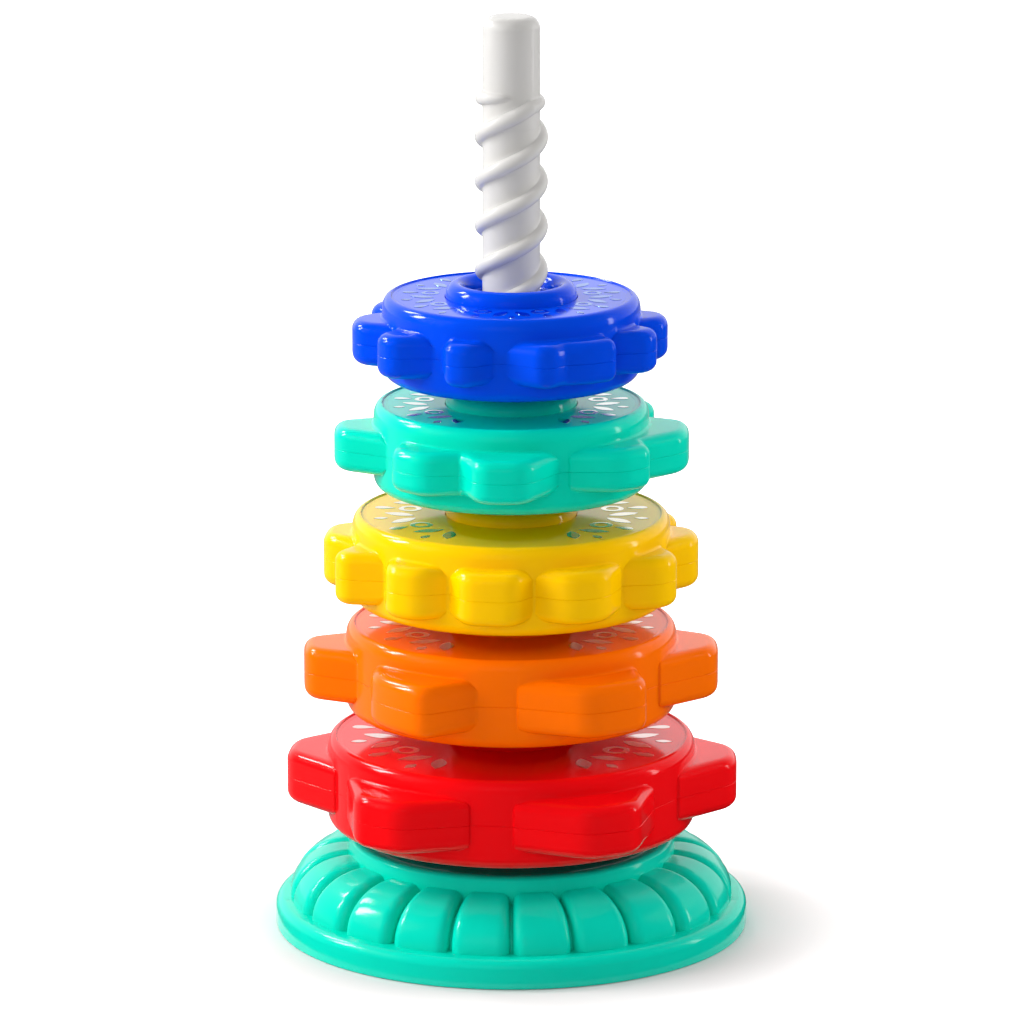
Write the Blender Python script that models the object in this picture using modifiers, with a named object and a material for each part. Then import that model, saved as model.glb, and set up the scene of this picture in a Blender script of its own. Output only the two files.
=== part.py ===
"""Corkscrew gear stacking toy: five gear discs that spin down a ribbed post on a lobed, domed base.

Metres, +Z up. The origin is on the table under the middle of the post, and -Y is the front.
Azimuths are in degrees from the front, growing towards +X, which is anticlockwise from above.
A disc's pieces are drawn from its underside, and a parent empty on the post's axis lifts them.
"""

import collections
import math

import bmesh
import bpy
from mathutils import Matrix

# Clearances
SEAT_GAP = 0.0003  # between pieces that rest on, or are fastened in, one another
THREAD_GAP = 0.0009  # radial, rib crest to hub bore
LUG_GAP = 0.0005  # radial, post to the end of a lug
LUG_PLAY = 0.0015  # up and down, lug to rib

# Base
BASE_RADIUS = 0.0825
BASE_WALL = 0.0024
FLANGE_HEIGHT = 0.0100
FLANGE_ROUNDING = 0.0026
LOBE_COUNT = 22
LOBE_RADIUS = 0.0775
LOBE_FOOT_Z = 0.0112
LOBE_TOP_Z = 0.0268
LOBE_GROOVE_WIDTH = 0.0026
LOBE_GROOVE_DEPTH = 0.0034
NECK_RADIUS = 0.0572
SHOULDER_Z = 0.0320
SHOULDER_WIDTH = 0.0060
DECK_Z = 0.0305
COVER_THICKNESS = 0.0020
COVER_RECESS = 0.0024
COVER_SCREW_CIRCLE = 0.0440
COVER_SCREWS = 4

# Post and its two ribs
POST_HEIGHT = 0.3210
POST_FOOT_RADIUS = 0.0104
POST_TIP_RADIUS = 0.0099
POST_WALL = 0.0032
POST_TOP_ROUNDING = 0.0045
SOCKET_WALL = 0.0024
SOCKET_FLOOR = 0.0025
ANCHOR_LENGTH = 0.0180
THREAD_LEAD = 0.0310
THREAD_STARTS = 2
RIB_RADIUS = 0.0024
RIB_CREST_RADIUS = 0.0123
BARE_TIP = 0.0275  # length of the post above its ribs
RIB_CROSSING_Z = 0.2483  # height at which a rib crosses the +X side

# Discs
SHELL_WALL = 0.0022
RIM_WIDTH = 0.0033  # from the body's side in to the face plate's recess
RIM_ROUNDING_WIDTH = 0.0028
RIM_ROUNDING_HEIGHT = 0.0050
FOOT_ROUNDING = 0.0045
PLATE_THICKNESS = 0.0018
PLATE_DEPTH = 0.0005  # face plate below the rim
COLLAR_WIDTH = 0.0073
COLLAR_HEIGHT = 0.0050  # above the face plate
COLLAR_GAP = 0.0005  # radial, hub to collar
HUB_WALL = 0.0017
HUB_BOSS_WIDTH = 0.0061
HUB_RISE = 0.0010  # hub above the face plate
LUG_WIDTH = 0.0060
TALL_TOOTH_HALF_HEIGHT = 0.0093  # on the three larger discs
LOW_TOOTH_HALF_HEIGHT = 0.0076  # on the two smaller ones
TOOTH_EDGE = 0.0030
TIP_ROUNDING = 0.0045

# Fasteners
SCREW_CIRCLE = 0.0290
SCREWS_PER_DISC = 3
SCREW_RADIUS = 0.0014
SCREW_HEAD_RADIUS = 0.0028
SCREW_HEAD_HEIGHT = 0.0018
SCREW_BITE = 0.0080  # screw length in the piece that it draws up
SCREW_SINK = 0.0060  # depth of a disc screw's seat above the underside
SCREW_SEAT = 0.0020  # plastic under a disc screw's head
BOSS_WALL = 0.0016
POST_SCREW_RADIUS = 0.0019
POST_SCREW_HEAD_RADIUS = 0.0038
POST_SCREW_HEAD_HEIGHT = 0.0022
POST_SCREW_BITE = 0.0120
WASHER_RADIUS = 0.0060
WASHER_THICKNESS = 0.0008

# Facets around a full turn
BODY_SIDES = 24
BASE_SIDES = 44
RING_SIDES = 20
HUB_SIDES = 16
POST_SIDES = 12
SMALL_SIDES = 8
RIB_POINTS_PER_TURN = 9
LOBE_STEPS = 3

# A tooth runs from its root up a flank to its tip and down again. Angles are azimuths.
# root_radius is the bottom of the valley after the tooth, where that lies outside the body.
Tooth = collections.namedtuple(
    "Tooth",
    "root_start tip_start tip_end root_end radius_start radius_end root_radius",
    defaults=[0.0],
)
# gap_below is the air between this disc and the rim of the one below it.
Disc = collections.namedtuple("Disc", "name colour gap_below thickness seam radius half_tooth teeth")

RED_TEETH = [
    Tooth(-61.0, -42.5, -29.0, -12.5, 0.0790, 0.0788),
    Tooth(0.5, 19.5, 33.0, 49.5, 0.0795, 0.0795),
    Tooth(63.0, 82.5, 96.0, 113.0, 0.0788, 0.0788),
    Tooth(122.5, 140.5, 154.0, 171.5, 0.0788, 0.0788),
    Tooth(181.0, 199.0, 212.0, 230.0, 0.0788, 0.0788),
    Tooth(239.0, 257.5, 271.0, 289.5, 0.0785, 0.0785),
]
ORANGE_TEETH = [
    Tooth(-55.5, -46.5, -24.0, -12.0, 0.0665, 0.0740),
    Tooth(2.0, 21.5, 41.0, 50.0, 0.0715, 0.0712),
    Tooth(61.5, 81.5, 97.0, 109.0, 0.0720, 0.0720),
    Tooth(127.0, 140.0, 160.0, 173.0, 0.0720, 0.0720),
    Tooth(190.0, 203.0, 221.0, 235.0, 0.0720, 0.0720),
    Tooth(257.0, 265.0, 280.5, 292.5, 0.0722, 0.0722),
]
YELLOW_TEETH = [
    Tooth(-50.5, -42.0, -30.5, -23.5, 0.0645, 0.0632),
    Tooth(-22.0, -15.5, 1.5, 7.5, 0.0627, 0.0630),
    Tooth(8.5, 18.0, 30.5, 42.5, 0.0638, 0.0642),
    Tooth(44.0, 53.5, 63.0, 72.5, 0.0638, 0.0648),
    Tooth(74.0, 86.0, 98.0, 105.5, 0.0650, 0.0650),
    Tooth(107.0, 114.0, 126.0, 134.0, 0.0648, 0.0648),
    Tooth(135.5, 143.0, 155.0, 163.0, 0.0648, 0.0648),
    Tooth(164.5, 171.5, 183.5, 190.5, 0.0648, 0.0648),
    Tooth(192.0, 199.5, 211.5, 219.0, 0.0648, 0.0648),
    Tooth(220.5, 228.0, 240.0, 247.0, 0.0648, 0.0648),
    Tooth(248.5, 257.0, 272.5, 282.0, 0.0652, 0.0652),
    Tooth(283.5, 293.0, 299.0, 307.5, 0.0665, 0.0655),
]
TEAL_TEETH = [
    Tooth(-54.0, -46.5, -30.5, -19.5, 0.0572, 0.0590, 0.0518),
    Tooth(-19.5, -11.0, 5.0, 20.0, 0.0630, 0.0625),
    Tooth(24.0, 40.0, 54.0, 59.5, 0.0578, 0.0592, 0.0530),
    Tooth(59.5, 77.5, 96.0, 106.0, 0.0618, 0.0612),
    Tooth(113.0, 123.0, 139.0, 149.0, 0.0612, 0.0612),
    Tooth(155.0, 167.0, 184.0, 196.0, 0.0605, 0.0605),
    Tooth(203.0, 214.0, 230.0, 243.0, 0.0612, 0.0612),
    Tooth(256.0, 264.0, 280.0, 296.5, 0.0612, 0.0612),
]
BLUE_TEETH = [
    Tooth(-64.0, -58.5, -48.0, -36.5, 0.0548, 0.0550),
    Tooth(-31.0, -25.5, -16.0, -7.5, 0.0527, 0.0527),
    Tooth(-1.5, 10.0, 16.0, 22.0, 0.0530, 0.0532, 0.0500),
    Tooth(22.0, 30.0, 44.0, 47.0, 0.0518, 0.0527),
    Tooth(48.5, 60.5, 69.0, 75.0, 0.0538, 0.0542),
    Tooth(77.0, 87.0, 100.0, 108.0, 0.0540, 0.0540),
    Tooth(112.0, 121.0, 131.0, 138.0, 0.0538, 0.0538),
    Tooth(143.0, 153.0, 172.0, 182.0, 0.0532, 0.0532),
    Tooth(187.0, 196.0, 206.0, 215.0, 0.0538, 0.0538),
    Tooth(222.0, 234.0, 247.0, 255.0, 0.0540, 0.0540),
    Tooth(257.0, 267.0, 283.0, 295.0, 0.0546, 0.0552),
]
DISCS = [
    Disc("red", (0.82, 0.012, 0.018),
         0.0046, 0.0314, 0.0159, 0.0642, TALL_TOOTH_HALF_HEIGHT, RED_TEETH),
    Disc("orange", (1.0, 0.20, 0.005),
         0.0094, 0.0312, 0.0152, 0.0575, TALL_TOOTH_HALF_HEIGHT, ORANGE_TEETH),
    Disc("yellow", (1.0, 0.62, 0.005),
         0.0076, 0.0313, 0.0146, 0.0551, TALL_TOOTH_HALF_HEIGHT, YELLOW_TEETH),
    Disc("teal", (0.01, 0.62, 0.45),
         0.0091, 0.0300, 0.0150, 0.0476, LOW_TOOTH_HALF_HEIGHT, TEAL_TEETH),
    Disc("blue", (0.01, 0.045, 0.66),
         0.0086, 0.0290, 0.0140, 0.0445, LOW_TOOTH_HALF_HEIGHT, BLUE_TEETH),
]
BASE_COLOUR = (0.01, 0.66, 0.50)
POST_COLOUR = (0.80, 0.80, 0.80)
STEEL_COLOUR = (0.56, 0.57, 0.58)

# What follows from the sizes
LUG_RADIUS = POST_FOOT_RADIUS + LUG_GAP
HUB_BORE = RIB_CREST_RADIUS + THREAD_GAP
HUB_RADIUS = HUB_BORE + HUB_WALL
HUB_BOSS_RADIUS = HUB_RADIUS + HUB_BOSS_WIDTH
DISC_HOLE = HUB_RADIUS + SEAT_GAP
COLLAR_HOLE = HUB_RADIUS + COLLAR_GAP
COLLAR_RADIUS = COLLAR_HOLE + COLLAR_WIDTH
PILOT_RADIUS = SCREW_RADIUS + SEAT_GAP
BOSS_RADIUS = PILOT_RADIUS + BOSS_WALL
COUNTERBORE = SCREW_HEAD_RADIUS + SEAT_GAP
SCREW_POST_RADIUS = COUNTERBORE + BOSS_WALL
COVER_TOP_Z = COVER_RECESS + COVER_THICKNESS
POST_SCREW_SEAT_Z = COVER_TOP_Z + POST_SCREW_HEAD_HEIGHT + WASHER_THICKNESS + 3 * SEAT_GAP
SOCKET_FLOOR_Z = POST_SCREW_SEAT_Z + SOCKET_FLOOR
POST_BOTTOM_Z = SOCKET_FLOOR_Z + SEAT_GAP
SOCKET_RADIUS = POST_FOOT_RADIUS + SEAT_GAP
POST_BORE = POST_FOOT_RADIUS - POST_WALL
DECK_UNDERSIDE_Z = DECK_Z - BASE_WALL
RIB_CENTRE_RADIUS = RIB_CREST_RADIUS - RIB_RADIUS
RIB_TOP_Z = POST_HEIGHT - BARE_TIP
RIB_SLOPE = math.atan(THREAD_LEAD / (2 * math.pi * RIB_CENTRE_RADIUS))


def on_circle(radius, azimuth):
    """The (x, y) at a radius and an azimuth."""
    angle = math.radians(azimuth)
    return radius * math.sin(angle), -radius * math.cos(angle)


def circle(radius, sides, centre=(0.0, 0.0)):
    points = []
    for i in range(sides):
        x, y = on_circle(radius, 360.0 * i / sides)
        points.append((centre[0] + x, centre[1] + y))
    return points


def ellipse_arc(centre, half_width, half_height, start, end, steps):
    """Points (radius, height) along an ellipse. 0 degrees points outwards and 90 up."""
    points = []
    for i in range(steps + 1):
        angle = math.radians(start + (end - start) * i / steps)
        across = half_width * math.cos(angle)
        points.append((centre[0] + across, centre[1] + half_height * math.sin(angle)))
    return points


def clear_scene():
    for obj in list(bpy.data.objects):
        bpy.data.objects.remove(obj, do_unlink=True)


def new_collection(name, hidden):
    collection = bpy.data.collections.new(name)
    collection.hide_render = hidden
    bpy.context.scene.collection.children.link(collection)
    return collection


def plastic(name, colour, roughness=0.25, metallic=0.0):
    material = bpy.data.materials.new(name)
    material.use_nodes = True
    shader = material.node_tree.nodes["Principled BSDF"]
    shader.inputs["Base Color"].default_value = (*colour, 1.0)
    shader.inputs["Roughness"].default_value = roughness
    shader.inputs["Metallic"].default_value = metallic
    material.diffuse_color = (*colour, 1.0)
    return material


def axis_empty(name, height):
    """An empty on the post's axis, which carries what turns or slides there."""
    empty = bpy.data.objects.new(name, None)
    toy.objects.link(empty)
    empty.location.z = height
    return empty


def add_part(obj, material, parent=None):
    toy.objects.link(obj)
    obj.parent = parent
    obj.data.materials.clear()
    obj.data.materials.append(material)
    obj.data.shade_smooth()
    return obj


def add_helper(obj, parent=None):
    """A cutter, or a shape to be joined to a part."""
    helpers.objects.link(obj)
    obj.parent = parent
    obj.hide_render = True
    obj.display_type = "WIRE"
    return obj


def turned(name, profile, sides, closed=True):
    """A profile of (radius, height) turned about Z. It runs outwards, down its outer side and in."""
    mesh = bpy.data.meshes.new(name)
    edges = [(i, i + 1) for i in range(len(profile) - 1)]
    if closed:
        edges.append((len(profile) - 1, 0))
    mesh.from_pydata([(r, 0.0, z) for r, z in profile], edges, [])
    obj = bpy.data.objects.new(name, mesh)
    screw = obj.modifiers.new("Turn", "SCREW")
    screw.axis = "Z"
    screw.angle = 2 * math.pi
    screw.steps = sides
    screw.render_steps = sides
    screw.use_merge_vertices = True
    screw.merge_threshold = 0.00001
    return obj


def mesh_of_curve(guide, name):
    """A mesh object in a curve's place, with its caps welded and its flat faces whole."""
    helpers.objects.link(guide)
    bpy.context.view_layer.update()
    graph = bpy.context.evaluated_depsgraph_get()
    mesh = bpy.data.meshes.new_from_object(guide.evaluated_get(graph))
    mesh.transform(guide.matrix_world)
    bpy.data.objects.remove(guide, do_unlink=True)
    shape = bmesh.new()
    shape.from_mesh(mesh)
    bmesh.ops.remove_doubles(shape, verts=shape.verts, dist=0.000005)
    bmesh.ops.dissolve_limit(shape, angle_limit=0.002, verts=shape.verts, edges=shape.edges)
    bmesh.ops.recalc_face_normals(shape, faces=shape.faces)
    shape.to_mesh(mesh)
    shape.free()
    return bpy.data.objects.new(name, mesh)


def flat_solid(name, outlines, low, high):
    """A mesh with these closed outlines, from height low to high. An outline in another is a hole."""
    curve = bpy.data.curves.new(name, "CURVE")
    curve.dimensions = "2D"
    curve.fill_mode = "BOTH"
    curve.extrude = (high - low) / 2
    for outline in outlines:
        spline = curve.splines.new("POLY")
        spline.points.add(len(outline) - 1)
        for point, (x, y) in zip(spline.points, outline):
            point.co = (x, y, 0.0, 1.0)
        spline.use_cyclic_u = True
    guide = bpy.data.objects.new(name + "_guide", curve)
    obj = mesh_of_curve(guide, name)
    for vert in obj.data.vertices:
        vert.co.z = high if vert.co.z > 0.0 else low
    return obj


def boolean(obj, other, operation):
    modifier = obj.modifiers.new(operation.title(), "BOOLEAN")
    modifier.operation = operation
    modifier.solver = "EXACT"
    modifier.object = other


def merge_flat_faces(obj):
    """Joins the coplanar scraps that Booleans leave."""
    modifier = obj.modifiers.new("Flat faces", "DECIMATE")
    modifier.decimate_type = "DISSOLVE"
    modifier.angle_limit = math.radians(0.05)


def cut_corner(before, corner, after, rounding):
    """The ends of a corner's rounding, no further than its radius or a third of either edge."""
    ends = []
    ax, ay = before[0] - corner[0], before[1] - corner[1]
    bx, by = after[0] - corner[0], after[1] - corner[1]
    turn = math.pi - abs(math.atan2(ax * by - ay * bx, ax * bx + ay * by))
    for x, y in ((ax, ay), (bx, by)):
        length = math.hypot(x, y)
        share = min(rounding * math.tan(turn / 2), rounding, length / 3) / length
        ends.append((corner[0] + x * share, corner[1] + y * share))
    return ends


def tooth_corners(disc, i):
    """A tooth's plan corners: root, tip, tip, root. It may share a valley with the one before."""
    tooth, previous = disc.teeth[i], disc.teeth[i - 1]
    return [
        on_circle(max(disc.radius, previous.root_radius), tooth.root_start),
        on_circle(tooth.radius_start, tooth.tip_start),
        on_circle(tooth.radius_end, tooth.tip_end),
        on_circle(max(disc.radius, tooth.root_radius), tooth.root_end),
    ]


def back_arc(radius, start, end):
    """Points along a circle from the azimuth end back to start, both left out, in even steps."""
    span = (end - start) % 360.0
    steps = math.ceil(span * BODY_SIDES / 360.0)
    return [on_circle(radius, end - span * i / steps) for i in range(1, steps)]


def tooth_outlines(disc):
    """The teeth in plan, with cut tip corners, set into the body's wall. A shared valley joins two."""
    sunk = disc.radius - SHELL_WALL / 2
    outlines = []
    for i, tooth in enumerate(disc.teeth):
        root, tip_start, tip_end, root_end = tooth_corners(disc, i)
        tips = cut_corner(root, tip_start, tip_end, TIP_ROUNDING)
        tips += cut_corner(tip_start, tip_end, root_end, TIP_ROUNDING)
        if i == 0 or not disc.teeth[i - 1].root_radius:
            start = tooth.root_start
            outline = [on_circle(sunk, start), root]
        outline += tips + [root_end]
        if i == len(disc.teeth) - 1 or not tooth.root_radius:
            outlines.append(outline + [on_circle(sunk, tooth.root_end)])
            outlines[-1] += back_arc(sunk, start, tooth.root_end)
    return outlines


def bevel_outer_edge(obj, inner_radius, height, width):
    """Cuts the edge of a flat solid at one height, where it lies outside a radius."""
    shape = bmesh.new()
    shape.from_mesh(obj.data)
    tolerance = 0.00001
    picked = []
    for edge in shape.edges:
        ends = [vert.co for vert in edge.verts]
        if any(abs(end.z - height) > tolerance for end in ends):
            continue
        if all(math.hypot(end.x, end.y) > inner_radius for end in ends):
            picked.append(edge)
    bmesh.ops.bevel(
        shape, geom=picked, offset=width, segments=1, profile=0.5, affect="EDGES", clamp_overlap=True
    )
    shape.to_mesh(obj.data)
    shape.free()


def tooth_blocks(disc, parent, low, high, bevel_height):
    """The teeth between two heights, each sunk into the body's wall."""
    blocks = flat_solid(disc.name + "_teeth", tooth_outlines(disc), low, high)
    bevel_outer_edge(blocks, disc.radius - SHELL_WALL / 4, bevel_height, TOOTH_EDGE)
    return add_helper(blocks, parent)


def screw_places(radius, count):
    return [on_circle(radius, 360.0 * (i + 0.5) / count) for i in range(count)]


def posts(name, places, radius, low, high, parent=None):
    """Round posts, or round holes, at some places."""
    outlines = [circle(radius, SMALL_SIDES, place) for place in places]
    return add_helper(flat_solid(name, outlines, low, high), parent)


def upper_shell(disc, material, parent):
    body, top = disc.radius, disc.thickness
    seam = disc.seam + SEAT_GAP / 2
    recess = top - PLATE_DEPTH - PLATE_THICKNESS - SEAT_GAP
    ceiling = recess - SHELL_WALL
    profile = [(DISC_HOLE, recess), (body - RIM_WIDTH, recess), (body - RIM_WIDTH, top)]
    rounding_centre = (body - RIM_ROUNDING_WIDTH, top - RIM_ROUNDING_HEIGHT)
    profile += ellipse_arc(rounding_centre, RIM_ROUNDING_WIDTH, RIM_ROUNDING_HEIGHT, 90, 0, 2)
    profile += [(body, seam), (body - SHELL_WALL, seam), (body - SHELL_WALL, ceiling)]
    profile += [(DISC_HOLE, ceiling)]
    shell = add_part(turned(disc.name + "_upper_shell", profile, BODY_SIDES), material, parent)
    tooth_top = disc.seam + disc.half_tooth
    boolean(shell, tooth_blocks(disc, parent, seam, tooth_top, tooth_top), "UNION")
    places = screw_places(SCREW_CIRCLE, SCREWS_PER_DISC)
    middle = ceiling + SHELL_WALL / 2
    boolean(shell, posts(disc.name + "_bosses", places, BOSS_RADIUS, seam, middle, parent), "UNION")
    pilot_top = SCREW_SINK + SCREW_SEAT + SCREW_BITE + 2 * SEAT_GAP
    pilots = posts(disc.name + "_pilots", places, PILOT_RADIUS, 0.0, pilot_top, parent)
    boolean(shell, pilots, "DIFFERENCE")
    merge_flat_faces(shell)
    return shell


def lower_shell(disc, material, parent):
    body = disc.radius
    seam = disc.seam - SEAT_GAP / 2
    profile = [(body - SHELL_WALL, seam), (body, seam)]
    rounding_centre = (body - FOOT_ROUNDING, FOOT_ROUNDING)
    profile += ellipse_arc(rounding_centre, FOOT_ROUNDING, FOOT_ROUNDING, 0, -90, 2)
    profile += [(DISC_HOLE, 0.0), (DISC_HOLE, SHELL_WALL), (body - SHELL_WALL, SHELL_WALL)]
    shell = add_part(turned(disc.name + "_lower_shell", profile, BODY_SIDES), material, parent)
    tooth_low = disc.seam - disc.half_tooth
    boolean(shell, tooth_blocks(disc, parent, tooth_low, seam, tooth_low), "UNION")
    places = screw_places(SCREW_CIRCLE, SCREWS_PER_DISC)
    middle = SHELL_WALL / 2
    screw_posts = posts(disc.name + "_screw_posts", places, SCREW_POST_RADIUS, middle, seam, parent)
    boolean(shell, screw_posts, "UNION")
    sinks = posts(disc.name + "_sinks", places, COUNTERBORE, -SHELL_WALL, SCREW_SINK, parent)
    boolean(shell, sinks, "DIFFERENCE")
    holes = posts(disc.name + "_screw_holes", places, PILOT_RADIUS, 0.0, disc.thickness, parent)
    boolean(shell, holes, "DIFFERENCE")
    merge_flat_faces(shell)
    return shell


def face_plate(disc, material, parent):
    top = disc.thickness - PLATE_DEPTH
    inner, outer = COLLAR_RADIUS + SEAT_GAP, disc.radius - RIM_WIDTH - SEAT_GAP
    outlines = [circle(outer, BODY_SIDES), circle(inner, RING_SIDES)]
    plate = flat_solid(disc.name + "_face_plate", outlines, top - PLATE_THICKNESS, top)
    return add_part(plate, material, parent)


def collar(disc, material, parent):
    """The half-round ring about the hole, on a foot that passes the face plate."""
    level = disc.thickness - PLATE_DEPTH
    foot = level - PLATE_THICKNESS
    half_width = COLLAR_WIDTH / 2
    crest_centre = (COLLAR_HOLE + half_width, level)
    profile = ellipse_arc(crest_centre, half_width, COLLAR_HEIGHT, 180, 0, 5)
    profile += [(COLLAR_RADIUS, foot), (COLLAR_HOLE, foot)]
    return add_part(turned(disc.name + "_collar", profile, RING_SIDES), material, parent)


def hub(disc, bottom, rest_on, material, parent):
    """The bored tube that rides the post, with a lug between the ribs for each rib."""
    top = disc.thickness - PLATE_DEPTH + HUB_RISE
    foot = rest_on - bottom + SEAT_GAP
    profile = [(HUB_BORE, top), (HUB_RADIUS, top), (HUB_RADIUS, -SEAT_GAP)]
    profile += [(HUB_BOSS_RADIUS, -SEAT_GAP), (HUB_BOSS_RADIUS, foot), (HUB_BORE, foot)]
    tube = add_part(turned(disc.name + "_hub", profile, HUB_SIDES), material, parent)
    lug_height = disc.thickness / 2
    turns = (bottom + lug_height - RIB_CROSSING_Z) / THREAD_LEAD
    for i in range(THREAD_STARTS):
        angle = 2 * math.pi * (turns + (i + 0.5) / THREAD_STARTS)
        boolean(tube, hub_lug(disc.name, angle, lug_height, parent), "UNION")
    return tube


def hub_lug(name, angle, height, parent):
    """A block through the hub's wall, sloped as the ribs are. The angle is from +X."""
    rib_half_height = RIB_RADIUS / math.cos(RIB_SLOPE)
    groove = THREAD_LEAD / THREAD_STARTS - 2 * rib_half_height
    thickness = (groove - 2 * LUG_PLAY) * math.cos(RIB_SLOPE) - LUG_WIDTH * math.sin(RIB_SLOPE) / 2
    inner, outer = LUG_RADIUS, HUB_BORE + HUB_WALL / 2
    shape = bmesh.new()
    bmesh.ops.create_cube(shape, size=1.0)
    size = Matrix.Diagonal((outer - inner, LUG_WIDTH, thickness, 1.0))
    slope = Matrix.Rotation(RIB_SLOPE, 4, "X")
    out = Matrix.Translation(((outer + inner) / 2, 0.0, height))
    bmesh.ops.transform(
        shape, matrix=Matrix.Rotation(angle, 4, "Z") @ out @ slope @ size, verts=shape.verts
    )
    mesh = bpy.data.meshes.new(name + "_lug")
    shape.to_mesh(mesh)
    shape.free()
    return add_helper(bpy.data.objects.new(name + "_lug", mesh), parent)


def screw(name, place, seat, head_radius, head_height, shank_radius, length, parent=None):
    """A screw driven upwards: its head is under the seat and its shank runs up from it."""
    profile = [(0.0, seat + length), (shank_radius, seat + length), (shank_radius, seat)]
    profile += [(head_radius, seat), (head_radius, seat - head_height), (0.0, seat - head_height)]
    obj = add_part(turned(name, profile, SMALL_SIDES, closed=False), steel, parent)
    obj.location.x, obj.location.y = place
    return obj


def build_disc(disc, bottom, rest_on):
    """One disc with its underside at bottom, carried at the height rest_on by what is below it."""
    material = plastic(disc.name + "_abs", disc.colour)
    gloss = plastic(disc.name + "_face_abs", disc.colour, roughness=0.08)
    ring_plastic = plastic(disc.name + "_collar_abs", disc.colour, roughness=0.18)
    hub_plastic = plastic(disc.name + "_hub_acetal", disc.colour, roughness=0.35)
    slider = axis_empty(disc.name + "_lift_axis", bottom)
    spinner = axis_empty(disc.name + "_spin_axis", bottom)
    collar(disc, ring_plastic, slider)
    upper_shell(disc, material, spinner)
    lower_shell(disc, material, spinner)
    face_plate(disc, gloss, spinner)
    hub(disc, bottom, rest_on, hub_plastic, spinner)
    seat = SCREW_SINK - SEAT_GAP
    length = SCREW_SEAT + SCREW_BITE + SEAT_GAP
    for i, place in enumerate(screw_places(SCREW_CIRCLE, SCREWS_PER_DISC)):
        name = f"{disc.name}_screw_{i + 1}"
        screw(
            name, place, seat, SCREW_HEAD_RADIUS, SCREW_HEAD_HEIGHT, SCREW_RADIUS, length, spinner
        )


def lobe_profile(drop, steps):
    """The lobes' outer curve from the neck down to the flange, lowered into the base by drop."""
    half_width = LOBE_RADIUS - NECK_RADIUS - drop
    half_height = LOBE_TOP_Z - LOBE_FOOT_Z - drop
    return ellipse_arc((NECK_RADIUS, LOBE_FOOT_Z), half_width, half_height, 90, 0, steps)


def base_shell(material):
    """The domed shell: a deck inside a raised shoulder, the lobes, the foot flange and the socket."""
    shoulder_centre = (NECK_RADIUS - SHOULDER_WIDTH / 2, DECK_Z)
    deck_hole = SOCKET_RADIUS + SOCKET_WALL / 2
    profile = [(deck_hole, DECK_Z)]
    profile += ellipse_arc(shoulder_centre, SHOULDER_WIDTH / 2, SHOULDER_Z - DECK_Z, 180, 0, 2)
    profile += lobe_profile(0.0, LOBE_STEPS)
    flange_centre = (BASE_RADIUS - FLANGE_ROUNDING, FLANGE_HEIGHT - FLANGE_ROUNDING)
    profile += [(LOBE_RADIUS, FLANGE_HEIGHT)]
    profile += ellipse_arc(flange_centre, FLANGE_ROUNDING, FLANGE_ROUNDING, 90, 0, 2)
    inner = BASE_RADIUS - BASE_WALL
    inside_neck = NECK_RADIUS - BASE_WALL
    profile += [(BASE_RADIUS, 0.0), (inner, 0.0), (inner, FLANGE_HEIGHT - BASE_WALL)]
    under_lobes = lobe_profile(LOBE_GROOVE_DEPTH + BASE_WALL, 1)
    profile += [(under_lobes[-1][0], FLANGE_HEIGHT - BASE_WALL)] + under_lobes[::-1]
    profile += [(inside_neck, under_lobes[0][1])]
    profile += [(inside_neck, DECK_UNDERSIDE_Z), (deck_hole, DECK_UNDERSIDE_Z)]
    shell = add_part(turned("base_shell", profile, BASE_SIDES), material)
    boolean(shell, post_socket(), "UNION")
    boolean(shell, lobe_grooves(), "DIFFERENCE")
    places = screw_places(COVER_SCREW_CIRCLE, COVER_SCREWS)
    foot, middle = COVER_TOP_Z + SEAT_GAP, DECK_UNDERSIDE_Z + BASE_WALL / 2
    boolean(shell, posts("cover_bosses", places, BOSS_RADIUS, foot, middle), "UNION")
    pilot_top = COVER_TOP_Z + SCREW_BITE + 2 * SEAT_GAP
    boolean(shell, posts("cover_pilots", places, PILOT_RADIUS, 0.0, pilot_top), "DIFFERENCE")
    merge_flat_faces(shell)
    return shell


def post_socket():
    """The cup for the post's foot, with the screw's hole in its floor."""
    outer, hole = SOCKET_RADIUS + SOCKET_WALL, POST_SCREW_RADIUS + SEAT_GAP
    profile = [(SOCKET_RADIUS, DECK_Z), (outer, DECK_Z), (outer, POST_SCREW_SEAT_Z)]
    profile += [(hole, POST_SCREW_SEAT_Z), (hole, SOCKET_FLOOR_Z), (SOCKET_RADIUS, SOCKET_FLOOR_Z)]
    return add_helper(turned("post_socket", profile, RING_SIDES))


def lobe_grooves():
    """The upright slots between the lobes, whose floors follow the lobes' curve at the groove's depth."""
    floor = lobe_profile(LOBE_GROOVE_DEPTH, LOBE_STEPS)
    outside = LOBE_RADIUS + LOBE_GROOVE_DEPTH
    above = LOBE_TOP_Z + LOBE_GROOVE_DEPTH
    foot = (FLANGE_HEIGHT + LOBE_FOOT_Z) / 2
    outline = floor + [(floor[-1][0], foot), (outside, foot), (outside, above), (NECK_RADIUS, above)]
    outline = [(x + SEAT_GAP, z) for x, z in outline]
    half = LOBE_GROOVE_WIDTH / 2
    blade = flat_solid("lobe_groove", [outline], -half, half)
    upright = Matrix.Rotation(math.pi / 2, 4, "X")
    shape = bmesh.new()
    for i in range(LOBE_COUNT):
        x, y = on_circle(1.0, 360.0 * i / LOBE_COUNT)
        turn = Matrix.Rotation(math.atan2(y, x), 4, "Z")
        first = len(shape.verts)
        shape.from_mesh(blade.data)
        shape.verts.ensure_lookup_table()
        bmesh.ops.transform(shape, matrix=turn @ upright, verts=shape.verts[first:])
    shape.to_mesh(blade.data)
    shape.free()
    return add_helper(blade)


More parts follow.
